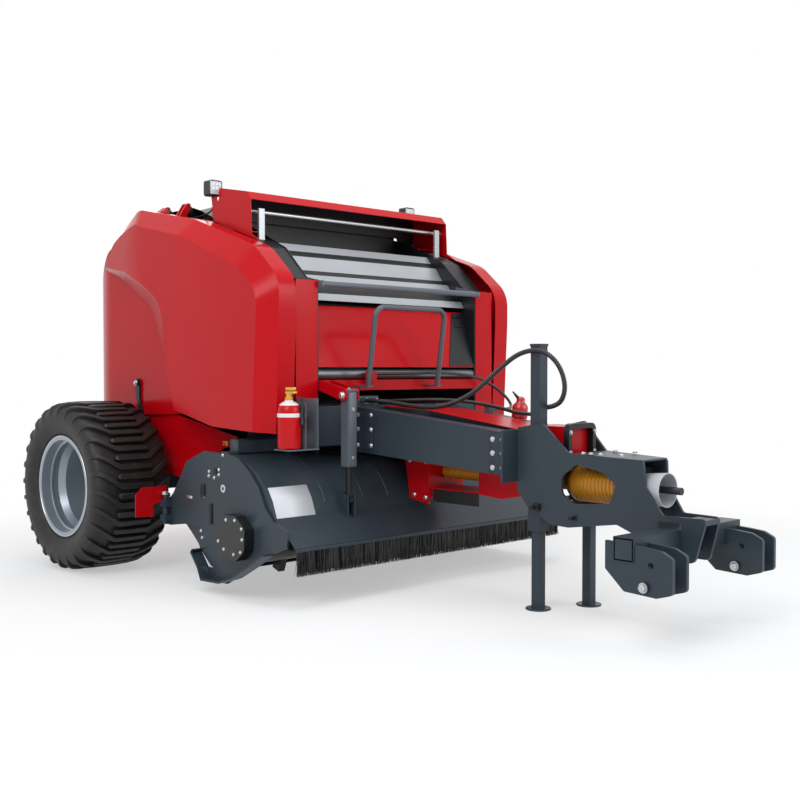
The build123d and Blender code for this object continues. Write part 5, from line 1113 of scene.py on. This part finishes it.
rounded_block(bm, BOTTLE + Vector((-0.009, -0.050, 0.306)), BOTTLE + Vector((0.009, 0.022, 0.3235)), 0.004)
show_mesh("bottle_valve", bm, valve_yellow, "chassis")
bm = bmesh.new()
nozzle_rows = [(0, 0.0), (0, 0.008), (0.05, 0.008), (0.10, 0.010), (0.14, 0.013), (0.14, 0.0)]
turned(bm, nozzle_rows, BOTTLE + Vector((0.036, -0.060, 0.270)), (0, 0, -1), 16)
show_mesh("bottle_nozzle", bm, black_plastic, "chassis")
eased("extinguisher_bracket", 0.002, grey_paint)

# Oil can: a round red plastic can with a domed top and a bent black spout, stood on the far
# beam.
can_red = finish_of("can_red", (192, 18, 26), 0.26, dust=0.04, tone=0.05, peel=0.15, Coat_Weight=0.25)
low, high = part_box("oil_can")
can_foot = Vector(((low.x + high.x) / 2, (low.y + high.y) / 2, low.z + 0.012))
bm = bmesh.new()
CAN_ROWS = [
    (0.0, 0.0), (0.0, 0.040), (0.003, 0.0445), (0.060, 0.0445), (0.074, 0.041), (0.086, 0.030),
    (0.094, 0.024), (0.112, 0.023), (0.120, 0.016), (0.124, 0.0),
]
turned(bm, CAN_ROWS, can_foot, (0, -0.1, 1), 40)
show_mesh("can_body", bm, can_red, "chassis", ["oil_can"])
bm = bmesh.new()
spout_rows = [(0.0, 0.010), (0.030, 0.007), (0.062, 0.004), (0.062, 0.0)]
turned(bm, spout_rows, can_foot + Vector((-0.012, -0.004, 0.112)), (-0.7, 0.0, 0.55), 14)
show_mesh("can_spout", bm, black_plastic, "chassis")

# Work lamps: square moulded black housings on the hood's corners, each with a pale face, nine
# small clear lenses on it and a red bracket below.
lens_clear = finish_of("lens_clear", (226, 230, 234), 0.12, dust=0.02, tone=0.04, peel=0.1, Coat_Weight=0.6)
eased("work_lamps", 0.008, black_plastic, low=50, segments=3)
LAMP_X = 790
LAMP_Z = 2271
LAMP_HALF = 38
CELL_PITCH = 24
CELL_ROWS = [(0, 0.0105), (0.002, 0.0105), (0.001, 0.007), (0.0005, 0.0)]
bm = bmesh.new()
for side in (-1, 1):
    left, right = side * LAMP_X - LAMP_HALF, side * LAMP_X + LAMP_HALF
    rounded_block(bm, at(left, -792.5, LAMP_Z - LAMP_HALF), at(right, -786, LAMP_Z + LAMP_HALF), 0.003, 3)
show_mesh("lamp_windows", bm, plate_white, "chassis")
bm = bmesh.new()
for side in (-1, 1):
    for column in range(3):
        for row in range(3):
            x = side * LAMP_X + (column - 1) * CELL_PITCH
            z = LAMP_Z + (row - 1) * CELL_PITCH
            turned(bm, CELL_ROWS, at(x, -792, z), (0, -1, 0), 20)
show_mesh("lamp_cells", bm, lens_clear, "chassis")
